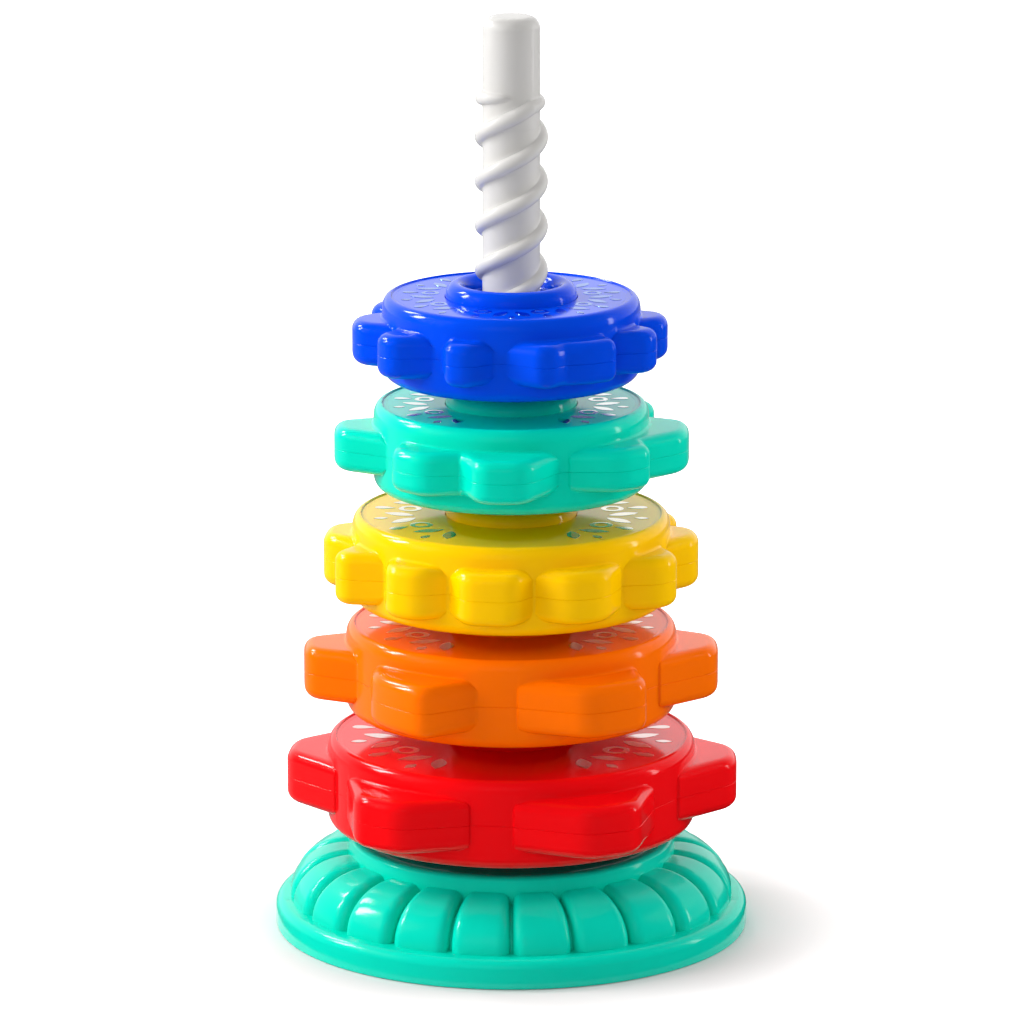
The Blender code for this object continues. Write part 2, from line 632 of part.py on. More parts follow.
def base_cover(material):
    places = screw_places(COVER_SCREW_CIRCLE, COVER_SCREWS)
    outlines = [circle(BASE_RADIUS - BASE_WALL - SEAT_GAP, BASE_SIDES)]
    outlines += [circle(PILOT_RADIUS, SMALL_SIDES, place) for place in places]
    cover = add_part(flat_solid("base_cover", outlines, COVER_RECESS, COVER_TOP_Z), material)
    seat, length = COVER_RECESS - SEAT_GAP, COVER_THICKNESS + SCREW_BITE + SEAT_GAP
    for i, place in enumerate(places):
        name = f"cover_screw_{i + 1}"
        screw(name, place, seat, SCREW_HEAD_RADIUS, SCREW_HEAD_HEIGHT, SCREW_RADIUS, length)
    return cover


def ribbed_ring(height, strength, turned_at, inset=0.0):
    """The post's outline: bare at strength 0 and with its full ribs at 1, turned as at a height."""
    climb = (height - POST_BOTTOM_Z) / (POST_HEIGHT - POST_BOTTOM_Z)
    core = POST_FOOT_RADIUS + (POST_TIP_RADIUS - POST_FOOT_RADIUS) * climb
    pitch = 360.0 / THREAD_STARTS
    half_width = 360.0 * RIB_RADIUS / math.cos(RIB_SLOPE) / THREAD_LEAD
    bare = (pitch - 2 * half_width) / 3
    points = []
    for start in range(THREAD_STARTS):
        crest = 360.0 * (turned_at - RIB_CROSSING_Z) / THREAD_LEAD + start * pitch
        for across, bulge in ((-1.0, 0.0), (-0.6, 0.8), (0.0, 1.0), (0.6, 0.8)):
            rise = RIB_CENTRE_RADIUS + RIB_RADIUS * bulge - core if bulge else 0.0
            points.append((core + rise * strength - inset, crest + half_width * across))
        for step in range(3):
            points.append((core - inset, crest + half_width + bare * step))
    return [(*on_circle(radius, azimuth + 90.0), height) for radius, azimuth in points]


def post_rings():
    """The post's rings of points, down the bore and then up the outside."""
    low = DECK_Z + SEAT_GAP
    deck_ring = ribbed_ring(low, 0.0, low)
    start = math.degrees(math.atan2(deck_ring[0][0], -deck_ring[0][1]))
    rings = []
    for height, radius in (
        (POST_HEIGHT - POST_WALL - POST_TOP_ROUNDING, POST_TIP_RADIUS - POST_WALL),
        (POST_BOTTOM_Z, POST_BORE),
        (POST_BOTTOM_Z, POST_FOOT_RADIUS),
    ):
        azimuths = [start + 360.0 * i / len(deck_ring) for i in range(len(deck_ring))]
        rings.append([(*on_circle(radius, azimuth), height) for azimuth in azimuths])
    steps = math.ceil((RIB_TOP_Z - low) / THREAD_LEAD * RIB_POINTS_PER_TURN)
    for i in range(steps + 1):
        height = low + (RIB_TOP_Z - low) * i / steps
        rings.append(ribbed_ring(height, 0.0 if i in (0, steps) else 1.0, height))
    for angle in (0.0, math.pi / 4, math.pi / 2):
        height = POST_HEIGHT - POST_TOP_ROUNDING * (1 - math.sin(angle))
        inset = POST_TOP_ROUNDING * (1 - math.cos(angle))
        rings.append(ribbed_ring(height, 0.0, RIB_TOP_Z, inset))
    return rings


def post(material):
    """The hollow post, open at its foot, with its ribs."""
    rings = post_rings()
    count = len(rings[0])
    faces = [list(range(count)), list(range(len(rings) * count - count, len(rings) * count))]
    for k in range(len(rings) - 1):
        for i in range(count):
            below, above = k * count + i, k * count + count + i
            next_below = k * count + (i + 1) % count
            faces.append((below, next_below, above))
            faces.append((next_below, next_below + count, above))
    mesh = bpy.data.meshes.new("post")
    mesh.from_pydata([point for ring in rings for point in ring], [], faces)
    shape = bmesh.new()
    shape.from_mesh(mesh)
    bmesh.ops.recalc_face_normals(shape, faces=shape.faces)
    shape.to_mesh(mesh)
    shape.free()
    return add_part(bpy.data.objects.new("post", mesh), material)


def post_fastening(material):
    """The anchor in the post's foot, and the screw and washer that draw it into the socket."""
    pilot = POST_SCREW_RADIUS + SEAT_GAP
    radius = POST_BORE - SEAT_GAP
    low, high = POST_BOTTOM_Z, POST_BOTTOM_Z + ANCHOR_LENGTH
    profile = [(pilot, high), (radius, high), (radius, low), (pilot, low)]
    add_part(turned("post_anchor", profile, POST_SIDES), material)
    high = POST_SCREW_SEAT_Z - SEAT_GAP
    low = high - WASHER_THICKNESS
    profile = [(pilot, high), (WASHER_RADIUS, high), (WASHER_RADIUS, low), (pilot, low)]
    add_part(turned("post_washer", profile, 2 * SMALL_SIDES), steel)
    seat = low - SEAT_GAP
    length = POST_BOTTOM_Z + POST_SCREW_BITE - seat
    screw(
        "post_screw", (0.0, 0.0), seat, POST_SCREW_HEAD_RADIUS, POST_SCREW_HEAD_HEIGHT,
        POST_SCREW_RADIUS, length,
    )


clear_scene()
toy = new_collection("gear_stacking_toy", hidden=False)
helpers = new_collection("cutters", hidden=True)
steel = plastic("zinc_plated_steel", STEEL_COLOUR, roughness=0.3, metallic=1.0)
white = plastic("post_abs", POST_COLOUR, roughness=0.3)
teal = plastic("base_abs", BASE_COLOUR)
base_shell(teal)
base_cover(plastic("base_cover_abs", BASE_COLOUR, roughness=0.4))
post(white)
post_fastening(plastic("anchor_acetal", POST_COLOUR, roughness=0.4))
rest_on = DECK_Z
rim_below = SHOULDER_Z
for disc in DISCS:
    bottom = rim_below + disc.gap_below
    build_disc(disc, bottom, rest_on)
    rim_below = bottom + disc.thickness
    rest_on = rim_below - PLATE_DEPTH + COLLAR_HEIGHT
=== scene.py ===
import math

import bmesh
import bpy
import numpy as np
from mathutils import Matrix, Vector

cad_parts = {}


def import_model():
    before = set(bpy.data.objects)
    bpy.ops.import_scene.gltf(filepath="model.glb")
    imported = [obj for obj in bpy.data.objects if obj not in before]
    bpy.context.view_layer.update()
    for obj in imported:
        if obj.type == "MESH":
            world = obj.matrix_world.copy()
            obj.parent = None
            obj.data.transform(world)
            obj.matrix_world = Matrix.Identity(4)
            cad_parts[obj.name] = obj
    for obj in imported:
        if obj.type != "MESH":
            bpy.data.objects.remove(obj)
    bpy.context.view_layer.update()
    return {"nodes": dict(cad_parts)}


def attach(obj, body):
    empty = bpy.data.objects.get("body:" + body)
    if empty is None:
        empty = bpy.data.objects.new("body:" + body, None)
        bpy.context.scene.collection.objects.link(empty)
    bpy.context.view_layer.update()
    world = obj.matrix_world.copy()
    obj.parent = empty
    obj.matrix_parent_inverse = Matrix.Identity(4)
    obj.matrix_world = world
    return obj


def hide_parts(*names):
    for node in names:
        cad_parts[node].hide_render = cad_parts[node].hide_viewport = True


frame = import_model()

# Sizes in metres. The origin is on the table under the post, and -Y is the front.
# Azimuths are in degrees from the front, growing towards +X.

SEAM_GAP = 0.00012
SEAM_LIP = 0.00022
# The seam's rounded lips: inset and distance from the seam
SEAM_PROFILE = [(SEAM_LIP, 0.0), (SEAM_LIP * 0.25, SEAM_LIP * 0.4), (0.0, SEAM_LIP)]
EDGE_BREAK = 0.0004  # the small chamfer on most edges
WELD_DISTANCE = 2e-6
CRISP_ANGLE = 40.0  # faces that turn by more degrees than this meet in a crisp edge
CRISP_ANGLE_BELOW = 30.0  # and on the discs' undersides

# Post
POST_FOOT_Z = 0.0111
POST_TOP_Z = 0.3210
POST_FOOT_RADIUS = 0.0103
POST_TIP_RADIUS = 0.0098
POST_TOP_ROUNDING = 0.0042
POST_TOP_STEPS = 8
POST_TOP_CLOSING = 0.02  # the innermost ring of points, as a share of the flat top
THREAD_LEAD = 0.0310
THREAD_STARTS = 2
RIB_RADIUS = 0.0026
RIB_CREST_RADIUS = 0.0126
RIB_FOOT_Z = 0.0312
RIB_TOP_Z = 0.2954
# Each rib's top: where it levels out, where it ends, and how late it thins.
RIB_TOPS = [(0.2918, 0.2944, 1.6), (0.2903, 0.2936, 0.6)]
RIB_LEVELLING = 0.26  # their climb from there on, as a share of what it is below
RIB_END_RADIUS = 0.0013
RIB_END_CREST_RADIUS = 0.0108
RIB_CROSSING_Z = 0.2483  # where a rib crosses the +X side
RIB_STEP = 0.9  # degrees between the points of a rib's centre line
RIB_FOOT_TAPER = 0.0010  # the height over which a rib rises from nothing
RIB_END_TAPER = 0.0003  # and over which it ends
RIB_FILLET = 0.0002
RIB_FADE = 0.0006  # how far a rib's fillet runs out into the core
HALF_RIB_COLUMNS = 20  # columns of points on each side of a rib's crest
COLUMN_EVENNESS = 0.42  # 1 spreads them evenly, and less brings more of them onto the rib
RING_MARGIN = 0.0012  # the close rings of points reach this far past the ribs
LOWER_RINGS_TOP_Z = 0.2828
LOWER_RINGS = 310
UPPER_RINGS_FOOT_Z = 0.2830
UPPER_RINGS = 60

# Base
BASE_RADIUS = 0.0825
FLANGE_HEIGHT = 0.0104
FLANGE_ROUNDING = 0.0034
FLANGE_FOOT = [(0.0010, 0.0), (0.0003, 0.0003), (0.0, 0.0010)]  # its lower edge: inset, height
LOBE_COUNT = 22
LOBE_RADIUS = 0.0775
LOBE_FOOT_Z = 0.0106
LOBE_TOP_Z = 0.0270
LOBE_DEPTH = 0.0042
LOBE_STEPS = 26
GROOVE_HALF_WIDTH = 0.018  # as a share of a lobe's width, as are the next two
LOBE_SIDE = 0.20  # how far from a groove a lobe reaches its full height
# Where the columns of points stand from a groove to a lobe's middle.
LOBE_COLUMNS = [-0.5, -0.49, -0.482, -0.476, -0.467, -0.455, -0.44, -0.42, -0.395, -0.365, -0.33,
                -0.29, -0.24, -0.16, -0.08, 0.0]
NECK_RADIUS = 0.0572
NECK_DRAFT = 0.0004
NECK_FOOT_Z = LOBE_TOP_Z + 0.0010
SHOULDER_Z = 0.0320
SHOULDER_CENTRE = (NECK_RADIUS - 0.0030, SHOULDER_Z - 0.0016)
SHOULDER_ROUNDING = (0.0025, 0.0016)  # half width and half height
NECK_TOP_Z = SHOULDER_Z - 0.0022
DECK_Z = 0.0305
DECK_EDGE_CENTRE = (NECK_RADIUS - 0.0042, DECK_Z + 0.0008)
DECK_EDGE_ROUNDING = (0.0018, 0.0007)
DECK_RADIUS = NECK_RADIUS - 0.0064
SOCKET_RADIUS = POST_FOOT_RADIUS + 0.0004
SOCKET_DEPTH = 0.0100
BASE_WALL = 0.0024
COVER_Z = 0.0024
COVER_THICKNESS = 0.0020
COVER_SIDES = 128
COVER_GROOVE = (0.0300, 0.0334)

# Discs
RIM_WIDTH = 0.0033
RIM_ROUNDING_WIDTH = 0.0029
RIM_ROUNDING_HEIGHT = 0.0046
RIM_LIP = [(0.0004, 0.0), (0.0001, 0.0003)]  # its inner edge: inset and drop
FOOT_ROUNDING = 0.0046
FOOT_CLEARANCE = 0.0002
PLATE_THICKNESS = 0.0018
PLATE_DEPTH = 0.0005
PLATE_BREAK = 0.0002
PLATE_SIDES = 128  # how finely it is divided, as are the next ones
COLLAR_SIDES = 112
HUB_SIDES = 80
MOUTH_SIDES = 72
FOOT_SIDES = 160
WELL_SIDES = 32
GROOVE_INSETS = (0.0013, 0.00145, 0.0016)  # the fine groove near the plate's edge
GROOVE_DEPTH = 0.00008
HUB_BORE = 0.0132
HUB_RADIUS = 0.0149
HUB_MOUTH_DEPTH = 0.0022
HUB_RISE = 0.0010  # above the face plate
HUB_ROUNDING = 0.0006
HUB_BOSS_RADIUS = 0.0210
BOSS_ROUNDING = 0.0008
COLLAR_HOLE = 0.0154
COLLAR_RADIUS = 0.0227
COLLAR_HEIGHT = 0.0050
TALL_TOOTH = 0.0093  # from the seam to a tooth's top, on the three larger discs
LOW_TOOTH = 0.0076  # and on the two smaller ones
TOOTH_EDGE = 0.0038
TIP_ROUNDING = 0.0050  # from the corner to where its rounding ends
ROOT_ROUNDING = 0.0011
ROUNDING_SHARE = 0.42  # a rounding takes up no more than this of the edges beside it
ROUNDING_STEPS = 7
SHALLOW_ANGLE = 31.0  # a tooth's side within this many degrees of the body is a long slope
HEEL = 0.0009  # the step at the end of a long slope
HEEL_TURN = 0.35  # and its width in degrees
HEEL_ROUNDING = 0.0006
TOP_FILLET = 0.0010
FOOT_FILLET = 0.0006
FILLET_SHARE = 0.35  # a fillet takes up no more than this of a tooth's depth
FILLET_STEPS = 4
EDGE_STEPS = 7
LINE_STEPS = 24
OUTLINE_SPACING = 0.0021
SCREW_CIRCLE = 0.0290
SCREW_AZIMUTHS = (60.0, 180.0, 300.0)
WELL_RADIUS = 0.0031
WELL_BREAK = 0.0003
WELL_DEPTH = 0.0060
WELL_FLOOR_RADIUS = 0.0015

# The border on the face plates, drawn for a plate of this radius
BORDER_RADIUS = 0.0518
BORDER_HEIGHT = 0.00010
BORDER_ROOT = 0.0001  # how deep it starts in the plate
BORDER_SHOULDER = 0.6  # the share of its height below its rounded edge
BORDER_CREST = 0.98  # how much of a shape its flat top takes up
HOLE_CREST = 1.03  # and where it starts beside a hole
BORDER_REPEATS = 9
OPENING_HALF_ANGLE = 35.0  # it is open at the front, except on the top disc
TOP_DISC = "blue"
LEAF_FULLNESS = 0.85  # 1 is a sine's curve, and less is fuller
SEED_SLIMNESS = 1.2  # more draws a seed's point out
RING_RADIUS = 0.0040
RING_HOLE = 0.56  # as a share of the ring's radius
SEED_SIZE = (0.0072, 0.0050)
LONG_LEAF_SIZE = (0.0112, 0.0046)
LONG_LEAF_ASIDE = 0.0047
LONG_LEAF_TURN = 32.0
SHORT_LEAF_SIZE = (0.0050, 0.0028)
# How far out they stand, as shares of the plate's radius
RING_AT = 0.69
SEED_AT = 0.860
LONG_LEAF_AT = 0.745
SHORT_LEAF_AT = 0.885

# Each tooth: azimuths of root, tip, tip and root, the tip's two radii, and the valley after it
# where that lies outside the body.
RED_TEETH = [
    (-61.0, -42.5, -29.0, -12.5, 0.0790, 0.0788, 0),
    (0.5, 19.5, 33.0, 49.5, 0.0795, 0.0795, 0),
    (63.0, 82.5, 96.0, 113.0, 0.0788, 0.0788, 0),
    (122.5, 140.5, 154.0, 171.5, 0.0788, 0.0788, 0),
    (181.0, 199.0, 212.0, 230.0, 0.0788, 0.0788, 0),
    (239.0, 257.5, 271.0, 289.5, 0.0785, 0.0785, 0),
]
ORANGE_TEETH = [
    (-55.5, -46.5, -24.0, -12.0, 0.0665, 0.0740, 0),
    (2.0, 21.5, 41.0, 50.0, 0.0715, 0.0712, 0),
    (61.5, 81.5, 97.0, 109.0, 0.0720, 0.0720, 0),
    (127.0, 140.0, 160.0, 173.0, 0.0720, 0.0720, 0),
    (190.0, 203.0, 221.0, 235.0, 0.0720, 0.0720, 0),
    (257.0, 265.0, 280.5, 292.5, 0.0722, 0.0722, 0),
]
YELLOW_TEETH = [
    (-50.5, -42.0, -30.5, -23.5, 0.0645, 0.0632, 0),
    (-22.0, -15.5, 1.5, 7.5, 0.0627, 0.0630, 0),
    (8.5, 18.0, 30.5, 42.5, 0.0638, 0.0642, 0),
    (44.0, 53.5, 63.0, 72.5, 0.0638, 0.0648, 0),
    (74.0, 86.0, 98.0, 105.5, 0.0650, 0.0650, 0),
    (107.0, 114.0, 126.0, 134.0, 0.0648, 0.0648, 0),
    (135.5, 143.0, 155.0, 163.0, 0.0648, 0.0648, 0),
    (164.5, 171.5, 183.5, 190.5, 0.0648, 0.0648, 0),
    (192.0, 199.5, 211.5, 219.0, 0.0648, 0.0648, 0),
    (220.5, 228.0, 240.0, 247.0, 0.0648, 0.0648, 0),
    (248.5, 257.0, 272.5, 282.0, 0.0652, 0.0652, 0),
    (283.5, 293.0, 299.0, 307.5, 0.0665, 0.0655, 0),
]
TEAL_TEETH = [
    (-54.0, -46.5, -30.5, -19.5, 0.0572, 0.0590, 0.0518),
    (-19.5, -11.0, 5.0, 20.0, 0.0630, 0.0625, 0),
    (24.0, 40.0, 54.0, 59.5, 0.0578, 0.0592, 0.0530),
    (59.5, 77.5, 96.0, 106.0, 0.0618, 0.0612, 0),
    (113.0, 123.0, 139.0, 149.0, 0.0612, 0.0612, 0),
    (155.0, 167.0, 184.0, 196.0, 0.0605, 0.0605, 0),
    (203.0, 214.0, 230.0, 243.0, 0.0612, 0.0612, 0),
    (256.0, 264.0, 280.0, 296.5, 0.0612, 0.0612, 0),
]
BLUE_TEETH = [
    (-64.0, -58.5, -48.0, -36.5, 0.0548, 0.0550, 0),
    (-31.0, -25.5, -16.0, -7.5, 0.0527, 0.0527, 0),
    (-1.5, 10.0, 16.0, 22.0, 0.0530, 0.0532, 0.0500),
    (22.0, 30.0, 44.0, 47.0, 0.0518, 0.0527, 0),
    (48.5, 60.5, 69.0, 75.0, 0.0538, 0.0542, 0),
    (77.0, 87.0, 100.0, 108.0, 0.0540, 0.0540, 0),
    (112.0, 121.0, 131.0, 138.0, 0.0538, 0.0538, 0),
    (143.0, 153.0, 172.0, 182.0, 0.0532, 0.0532, 0),
    (187.0, 196.0, 206.0, 215.0, 0.0538, 0.0538, 0),
    (222.0, 234.0, 247.0, 255.0, 0.0540, 0.0540, 0),
    (257.0, 267.0, 283.0, 295.0, 0.0546, 0.0552, 0),
]
# name, radius, height of its underside, thickness, seam above the underside, half a tooth's
# height, teeth
DISCS = [
    ("red", 0.0642, 0.0366, 0.0314, 0.0159, TALL_TOOTH, RED_TEETH),
    ("orange", 0.0575, 0.0774, 0.0312, 0.0152, TALL_TOOTH, ORANGE_TEETH),
    ("yellow", 0.0551, 0.1162, 0.0313, 0.0146, TALL_TOOTH, YELLOW_TEETH),
    ("teal", 0.0476, 0.1566, 0.0300, 0.0150, LOW_TOOTH, TEAL_TEETH),
    ("blue", 0.0445, 0.1952, 0.0290, 0.0140, LOW_TOOTH, BLUE_TEETH),
]

# Studio
WHITE = (1, 1, 1, 1)
AMBIENT_LEVEL = 0.44
ROOM_TURN = (0.10, 0.90)  # the depths over which the room that gloss sees goes from dim to white
ROOM_LEVELS = (0.01, 1.0)
PAPER_COLOUR = "#cccccc"
PAPER_GLOW = 0.10
PAPER_TURN = (0.085, 0.16)  # the distances from the post over which the paper turns plain white
PAPER_CORNERS = [(-6, -3, 0), (6, -3, 0), (6, 9, 0), (-6, 9, 0)]
# A glowing sheet that only gloss sees, which paints the floor's reflections on the toy: dim before
# it, white behind it and on the left.
CARD_HEIGHT = 0.0006
CARD_RADII = (0.087, 5.0)
CARD_SIDE = (-0.4, 0.8, 0.0)  # towards its white side
CARD_TURN = (0.05, 0.85)
CARD_LEVELS = (0.01, 0.4)
LAMP_DISTANCE = 1.4
LAMP_AIM = (0.0, 0.0, 0.13)
# name, azimuth, elevation, width and height, watts, whether gloss shows it
LAMPS = [
    ("left_key", -80.0, 27.0, (0.90, 0.80), 14.5, False),
    ("left_strip", -98.0, 31.0, (0.20, 0.40), 7.5, True),
    ("rear_strip", -122.0, 38.0, (0.20, 0.30), 4.5, True),
    ("right_fill", 104.0, 24.0, (0.80, 0.50), 10.0, False),
    ("right_strip", 98.0, 6.0, (0.12, 0.60), 1.5, True),
    ("back_light", 185.0, 38.0, (0.80, 0.60), 7.5, False),
    ("front_fill", -10.0, 20.0, (0.80, 0.60), 3.2, False),
]
SENSOR_WIDTH = 36.0  # in millimetres
FOCAL_LENGTH = 6540.0 / 1024.0  # in widths of the picture
CAMERA_PLACE = (0.0, -2.2030, 0.6762)
CAMERA_PITCH = 13.5  # degrees down
CAMERA_SHIFT = 0.0007


def around(radius, azimuth, height=0.0):
    """A point at a radius, an azimuth and a height."""
    angle = math.radians(azimuth)
    return Vector((radius * math.sin(angle), -radius * math.cos(angle), height))


def azimuth_of(point):
    """The azimuth that a point lies at."""
    return math.degrees(math.atan2(point.x, -point.y))


# Surfaces


def skin(name, rings, closed=False):
    """Quads between rings of points. Up the outside of a piece, they face out."""
    count = len(rings[0])
    pairs = [(k, k + 1) for k in range(len(rings) - 1)]
    if closed:
        pairs.append((len(rings) - 1, 0))
    faces = []
    for low, high in pairs:
        for i in range(count):
            j = (i + 1) % count
            faces.append((low * count + i, low * count + j, high * count + j, high * count + i))
    return finished(name, [tuple(point) for ring in rings for point in ring], faces)


def finished(name, points, faces):
    """A piece from points and faces, with points that coincide made one."""
    mesh = bpy.data.meshes.new(name)
    mesh.from_pydata(points, [], faces)
    welded = bmesh.new()
    welded.from_mesh(mesh)
    bmesh.ops.remove_doubles(welded, verts=welded.verts, dist=WELD_DISTANCE)
    welded.to_mesh(mesh)
    welded.free()
    return shaded(name, mesh, CRISP_ANGLE)


def shaded(name, mesh, crisp_angle):
    """A smooth piece with crisp edges where its faces turn by more than an angle."""
    mesh.shade_smooth()
    mesh.set_sharp_from_angle(angle=math.radians(crisp_angle))
    piece = bpy.data.objects.new(name, mesh)
    bpy.context.scene.collection.objects.link(piece)
    # Flat faces stay flat beside their roundings.
    piece.modifiers.new("Flat faces", "WEIGHTED_NORMAL").keep_sharp = True
    return piece


def turned(name, profile, sides, closed=True):
    """A profile of (radius, height) turned about the post. It runs up its outside and then in."""
    rings = []
    for radius, height in profile:
        rings.append([around(max(radius, 1e-7), 360.0 * i / sides, height) for i in range(sides)])
    return skin(name, rings, closed)


def arc(centre, half_width, half_height, start, end, steps):
    """Points along an ellipse. 0 degrees points outwards and 90 up."""
    points = []
    for i in range(steps + 1):
        angle = math.radians(start + (end - start) * i / steps)
        across, up = half_width * math.cos(angle), half_height * math.sin(angle)
        points.append((centre[0] + across, centre[1] + up))
    return points


def dress(piece, body, material, slot, *nodes):
    """Gives a piece its material, the body that it rides on and the nodes that it stands for."""
    piece.data.materials.clear()
    piece.data.materials.append(material)
    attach(piece, body)
    if nodes:
        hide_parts(*nodes)


# Materials

GRAIN_MM = 0.6  # the mould texture's size, in millimetres
GRAIN_DEPTH = 0.00005


def srgb(code):
    """The linear colour of an sRGB hex code."""
    parts = [int(code[i : i + 2], 16) / 255 for i in (1, 3, 5)]
    linear = [p / 12.92 if p <= 0.04045 else ((p + 0.055) / 1.055) ** 2.4 for p in parts]
    return (*linear, 1.0)


def node(tree, kind, settings=None, links=None):
    """Adds a node. Settings are properties or inputs, and links go from sockets into inputs."""
    made = tree.nodes.new(kind)
    for key, value in (settings or {}).items():
        if isinstance(key, str) and hasattr(made, key):
            setattr(made, key, value)
        else:
            made.inputs[key].default_value = value
    for key, socket in (links or {}).items():
        tree.links.new(socket, made.inputs[key])
    return made


def new_material(name):
    """A material, its tree and shader, and the place on the piece that its textures follow."""
    material = bpy.data.materials.new(name)
    material.use_nodes = True
    tree = material.node_tree
    place = node(tree, "ShaderNodeTexCoord").outputs["Object"]
    return material, tree, tree.nodes["Principled BSDF"], place


def noise(tree, place, scale, detail):
    """Noise between 0 and 1. Its marks are about 1 / scale metres long."""
    settings = {"Scale": scale, "Detail": detail}
    return node(tree, "ShaderNodeTexNoise", settings, {"Vector": place}).outputs["Fac"]


def ramp(tree, value, turn, levels, shape="SMOOTHSTEP"):
    """A level that goes from the first to the second while a value crosses a range."""
    settings = {"interpolation_type": shape, "From Min": turn[0], "From Max": turn[1]}
    settings |= {"To Min": levels[0], "To Max": levels[1]}
    return node(tree, "ShaderNodeMapRange", settings, {"Value": value}).outputs["Result"]


def vary_colour(tree, shader, share, colour, shade):
    """Gives a shader a colour that drifts towards a shade."""
    settings = {"data_type": "RGBA", 6: colour, 7: shade}
    tint = node(tree, "ShaderNodeMix", settings, {0: share})
    tree.links.new(tint.outputs[2], shader.inputs["Base Color"])


def vary_roughness(tree, shader, share, least, most):
    """Gives a shader a roughness that drifts between two."""
    rough = ramp(tree, share, (0.0, 1.0), (least, most), "LINEAR")
    tree.links.new(rough, shader.inputs["Roughness"])


def moulded_plastic(name, colour, shade, roughness, grain=0.05, shine=0.32):
    """Injection moulded plastic: one dyed colour, faint flow marks and a fine mould texture."""
    material, tree, shader, place = new_material(name)
    shader.inputs["IOR"].default_value = 1.5
    shader.inputs["Specular IOR Level"].default_value = shine
    flow_marks = noise(tree, place, 25.0, 2.0)
    vary_colour(tree, shader, flow_marks, srgb(colour), srgb(shade))
    polish = noise(tree, place, 90.0, 3.0)
    vary_roughness(tree, shader, polish, roughness * 0.85, roughness * 1.15)
    texture = noise(tree, place, 1000.0 / GRAIN_MM, 2.0)
    settings = {"Strength": grain, "Distance": GRAIN_DEPTH}
    bump = node(tree, "ShaderNodeBump", settings, {"Height": texture})
    tree.links.new(bump.outputs["Normal"], shader.inputs["Normal"])
    return material


def stamped_foil(name, colour):
    """Hot stamped foil: a thin tinted mirror, which shows the white studio or the disc above."""
    material, tree, shader, place = new_material(name)
    shader.inputs["Metallic"].default_value = 1.0
    waves = noise(tree, place, 250.0, 2.0)
    tint = srgb(colour)
    vary_colour(tree, shader, waves, tint, (*[c * 0.9 for c in tint[:3]], 1.0))
    vary_roughness(tree, shader, waves, 0.05, 0.12)
    return material


def plated_steel(name):
    """Zinc plated steel: bright and cool, with a faint drawn grain."""
    material, tree, shader, place = new_material(name)
    shader.inputs["Metallic"].default_value = 1.0
    grain = noise(tree, place, 900.0, 3.0)
    vary_colour(tree, shader, grain, srgb("#b9bcc0"), srgb("#d2d4d6"))
    vary_roughness(tree, shader, grain, 0.22, 0.36)
    return material


STEEL = plated_steel("zinc_plated_steel")
BASE_ABS = moulded_plastic("teal_abs_moulded", "#00d4b8", "#00ccb0", 0.14)
COVER_ABS = moulded_plastic("teal_abs_matt", "#02c8ac", "#02bfa4", 0.42, grain=0.2)
POST_ABS = moulded_plastic("white_abs_moulded", "#cbc9c6", "#c6c4c1", 0.24)
# The plastic's colour, its shade, and the tint of the foil border on the face plate.
COLOURS = {
    "red": ("#f00810", "#e8060e", "#ffe0dc"),
    "orange": ("#fc6f00", "#f56900", "#ffe6d2"),
    "yellow": ("#fdc600", "#f8be00", "#fffae6"),
    "teal": ("#00d8ba", "#00d0b2", "#f4fffd"),
    "blue": ("#004ae6", "#0045dc", "#7fa4f4"),
}


# Discs


def straight(start, end):
    """Points along a line."""
    return [start.lerp(end, i / LINE_STEPS) for i in range(LINE_STEPS + 1)]


def curved(radius, start, radius_end, end):
    """An arc about the post from one azimuth to another."""
    steps = max(4, math.ceil(end - start))
    points = []
    for i in range(steps + 1):
        share = i / steps
        azimuth = start + (end - start) * share
        points.append(around(radius + (radius_end - radius) * share, azimuth))
    return points


def stretch(points, start, end, longest):
    """Evenly spaced points along a line of points, from one length along it to another."""
    lengths = [0.0]
    for a, b in zip(points, points[1:]):
        lengths.append(lengths[-1] + (b - a).length)
    steps = max(1, math.ceil((end - start) / longest))
    found, k = [], 0
    for i in range(steps + 1):
        target = min(start + (end - start) * i / steps, lengths[-1])
        while k < len(lengths) - 2 and lengths[k + 1] < target:
            k += 1
        share = (target - lengths[k]) / (lengths[k + 1] - lengths[k])
        found.append(points[k].lerp(points[k + 1], share))
    return found


def length_of(points):
    """The length of a line of points."""
    return sum((b - a).length for a, b in zip(points, points[1:]))


def gear_edges(radius, teeth):
    """The disc's outline, as lines from corner to corner.

    Each comes with the rounding of the corner after it and whether it is on a tooth.
    """
    edges = []
    for i, (start, tip, tip_end, end, high, high_end, valley) in enumerate(teeth):
        following = teeth[(i + 1) % len(teeth)]
        before_valley = teeth[i - 1][6]
        first = around(before_valley or radius, start)
        last = around(valley or radius, end)
        points = [first]
        if not before_valley and is_shallow(start, first, around(high, tip), 1):
            points.append(around(radius + HEEL, start + HEEL_TURN))
            edges.append((straight(points[-2], points[-1]), HEEL_ROUNDING, True))
        edges.append((straight(points[-1], around(high, tip)), TIP_ROUNDING, True))
        edges.append((curved(high, tip, high_end, tip_end), TIP_ROUNDING, True))
        heel = not valley and is_shallow(end, last, around(high_end, tip_end), -1)
        foot = around(radius + HEEL, end - HEEL_TURN) if heel else last
        rounding = HEEL_ROUNDING if heel else ROOT_ROUNDING
        edges.append((straight(around(high_end, tip_end), foot), rounding, True))
        if heel:
            edges.append((straight(foot, last), ROOT_ROUNDING, True))
        if not valley:
            gap = (following[0] - end) % 360.0
            edges.append((curved(radius, end, radius, end + gap), ROOT_ROUNDING, False))
    return edges


def is_shallow(azimuth, root, tip, side):
    """Whether a tooth's side is a long slope, which leaves the body at a small angle."""
    along = around(1.0, azimuth + 90.0 * side)
    return along.angle(tip - root) < math.radians(SHALLOW_ANGLE)


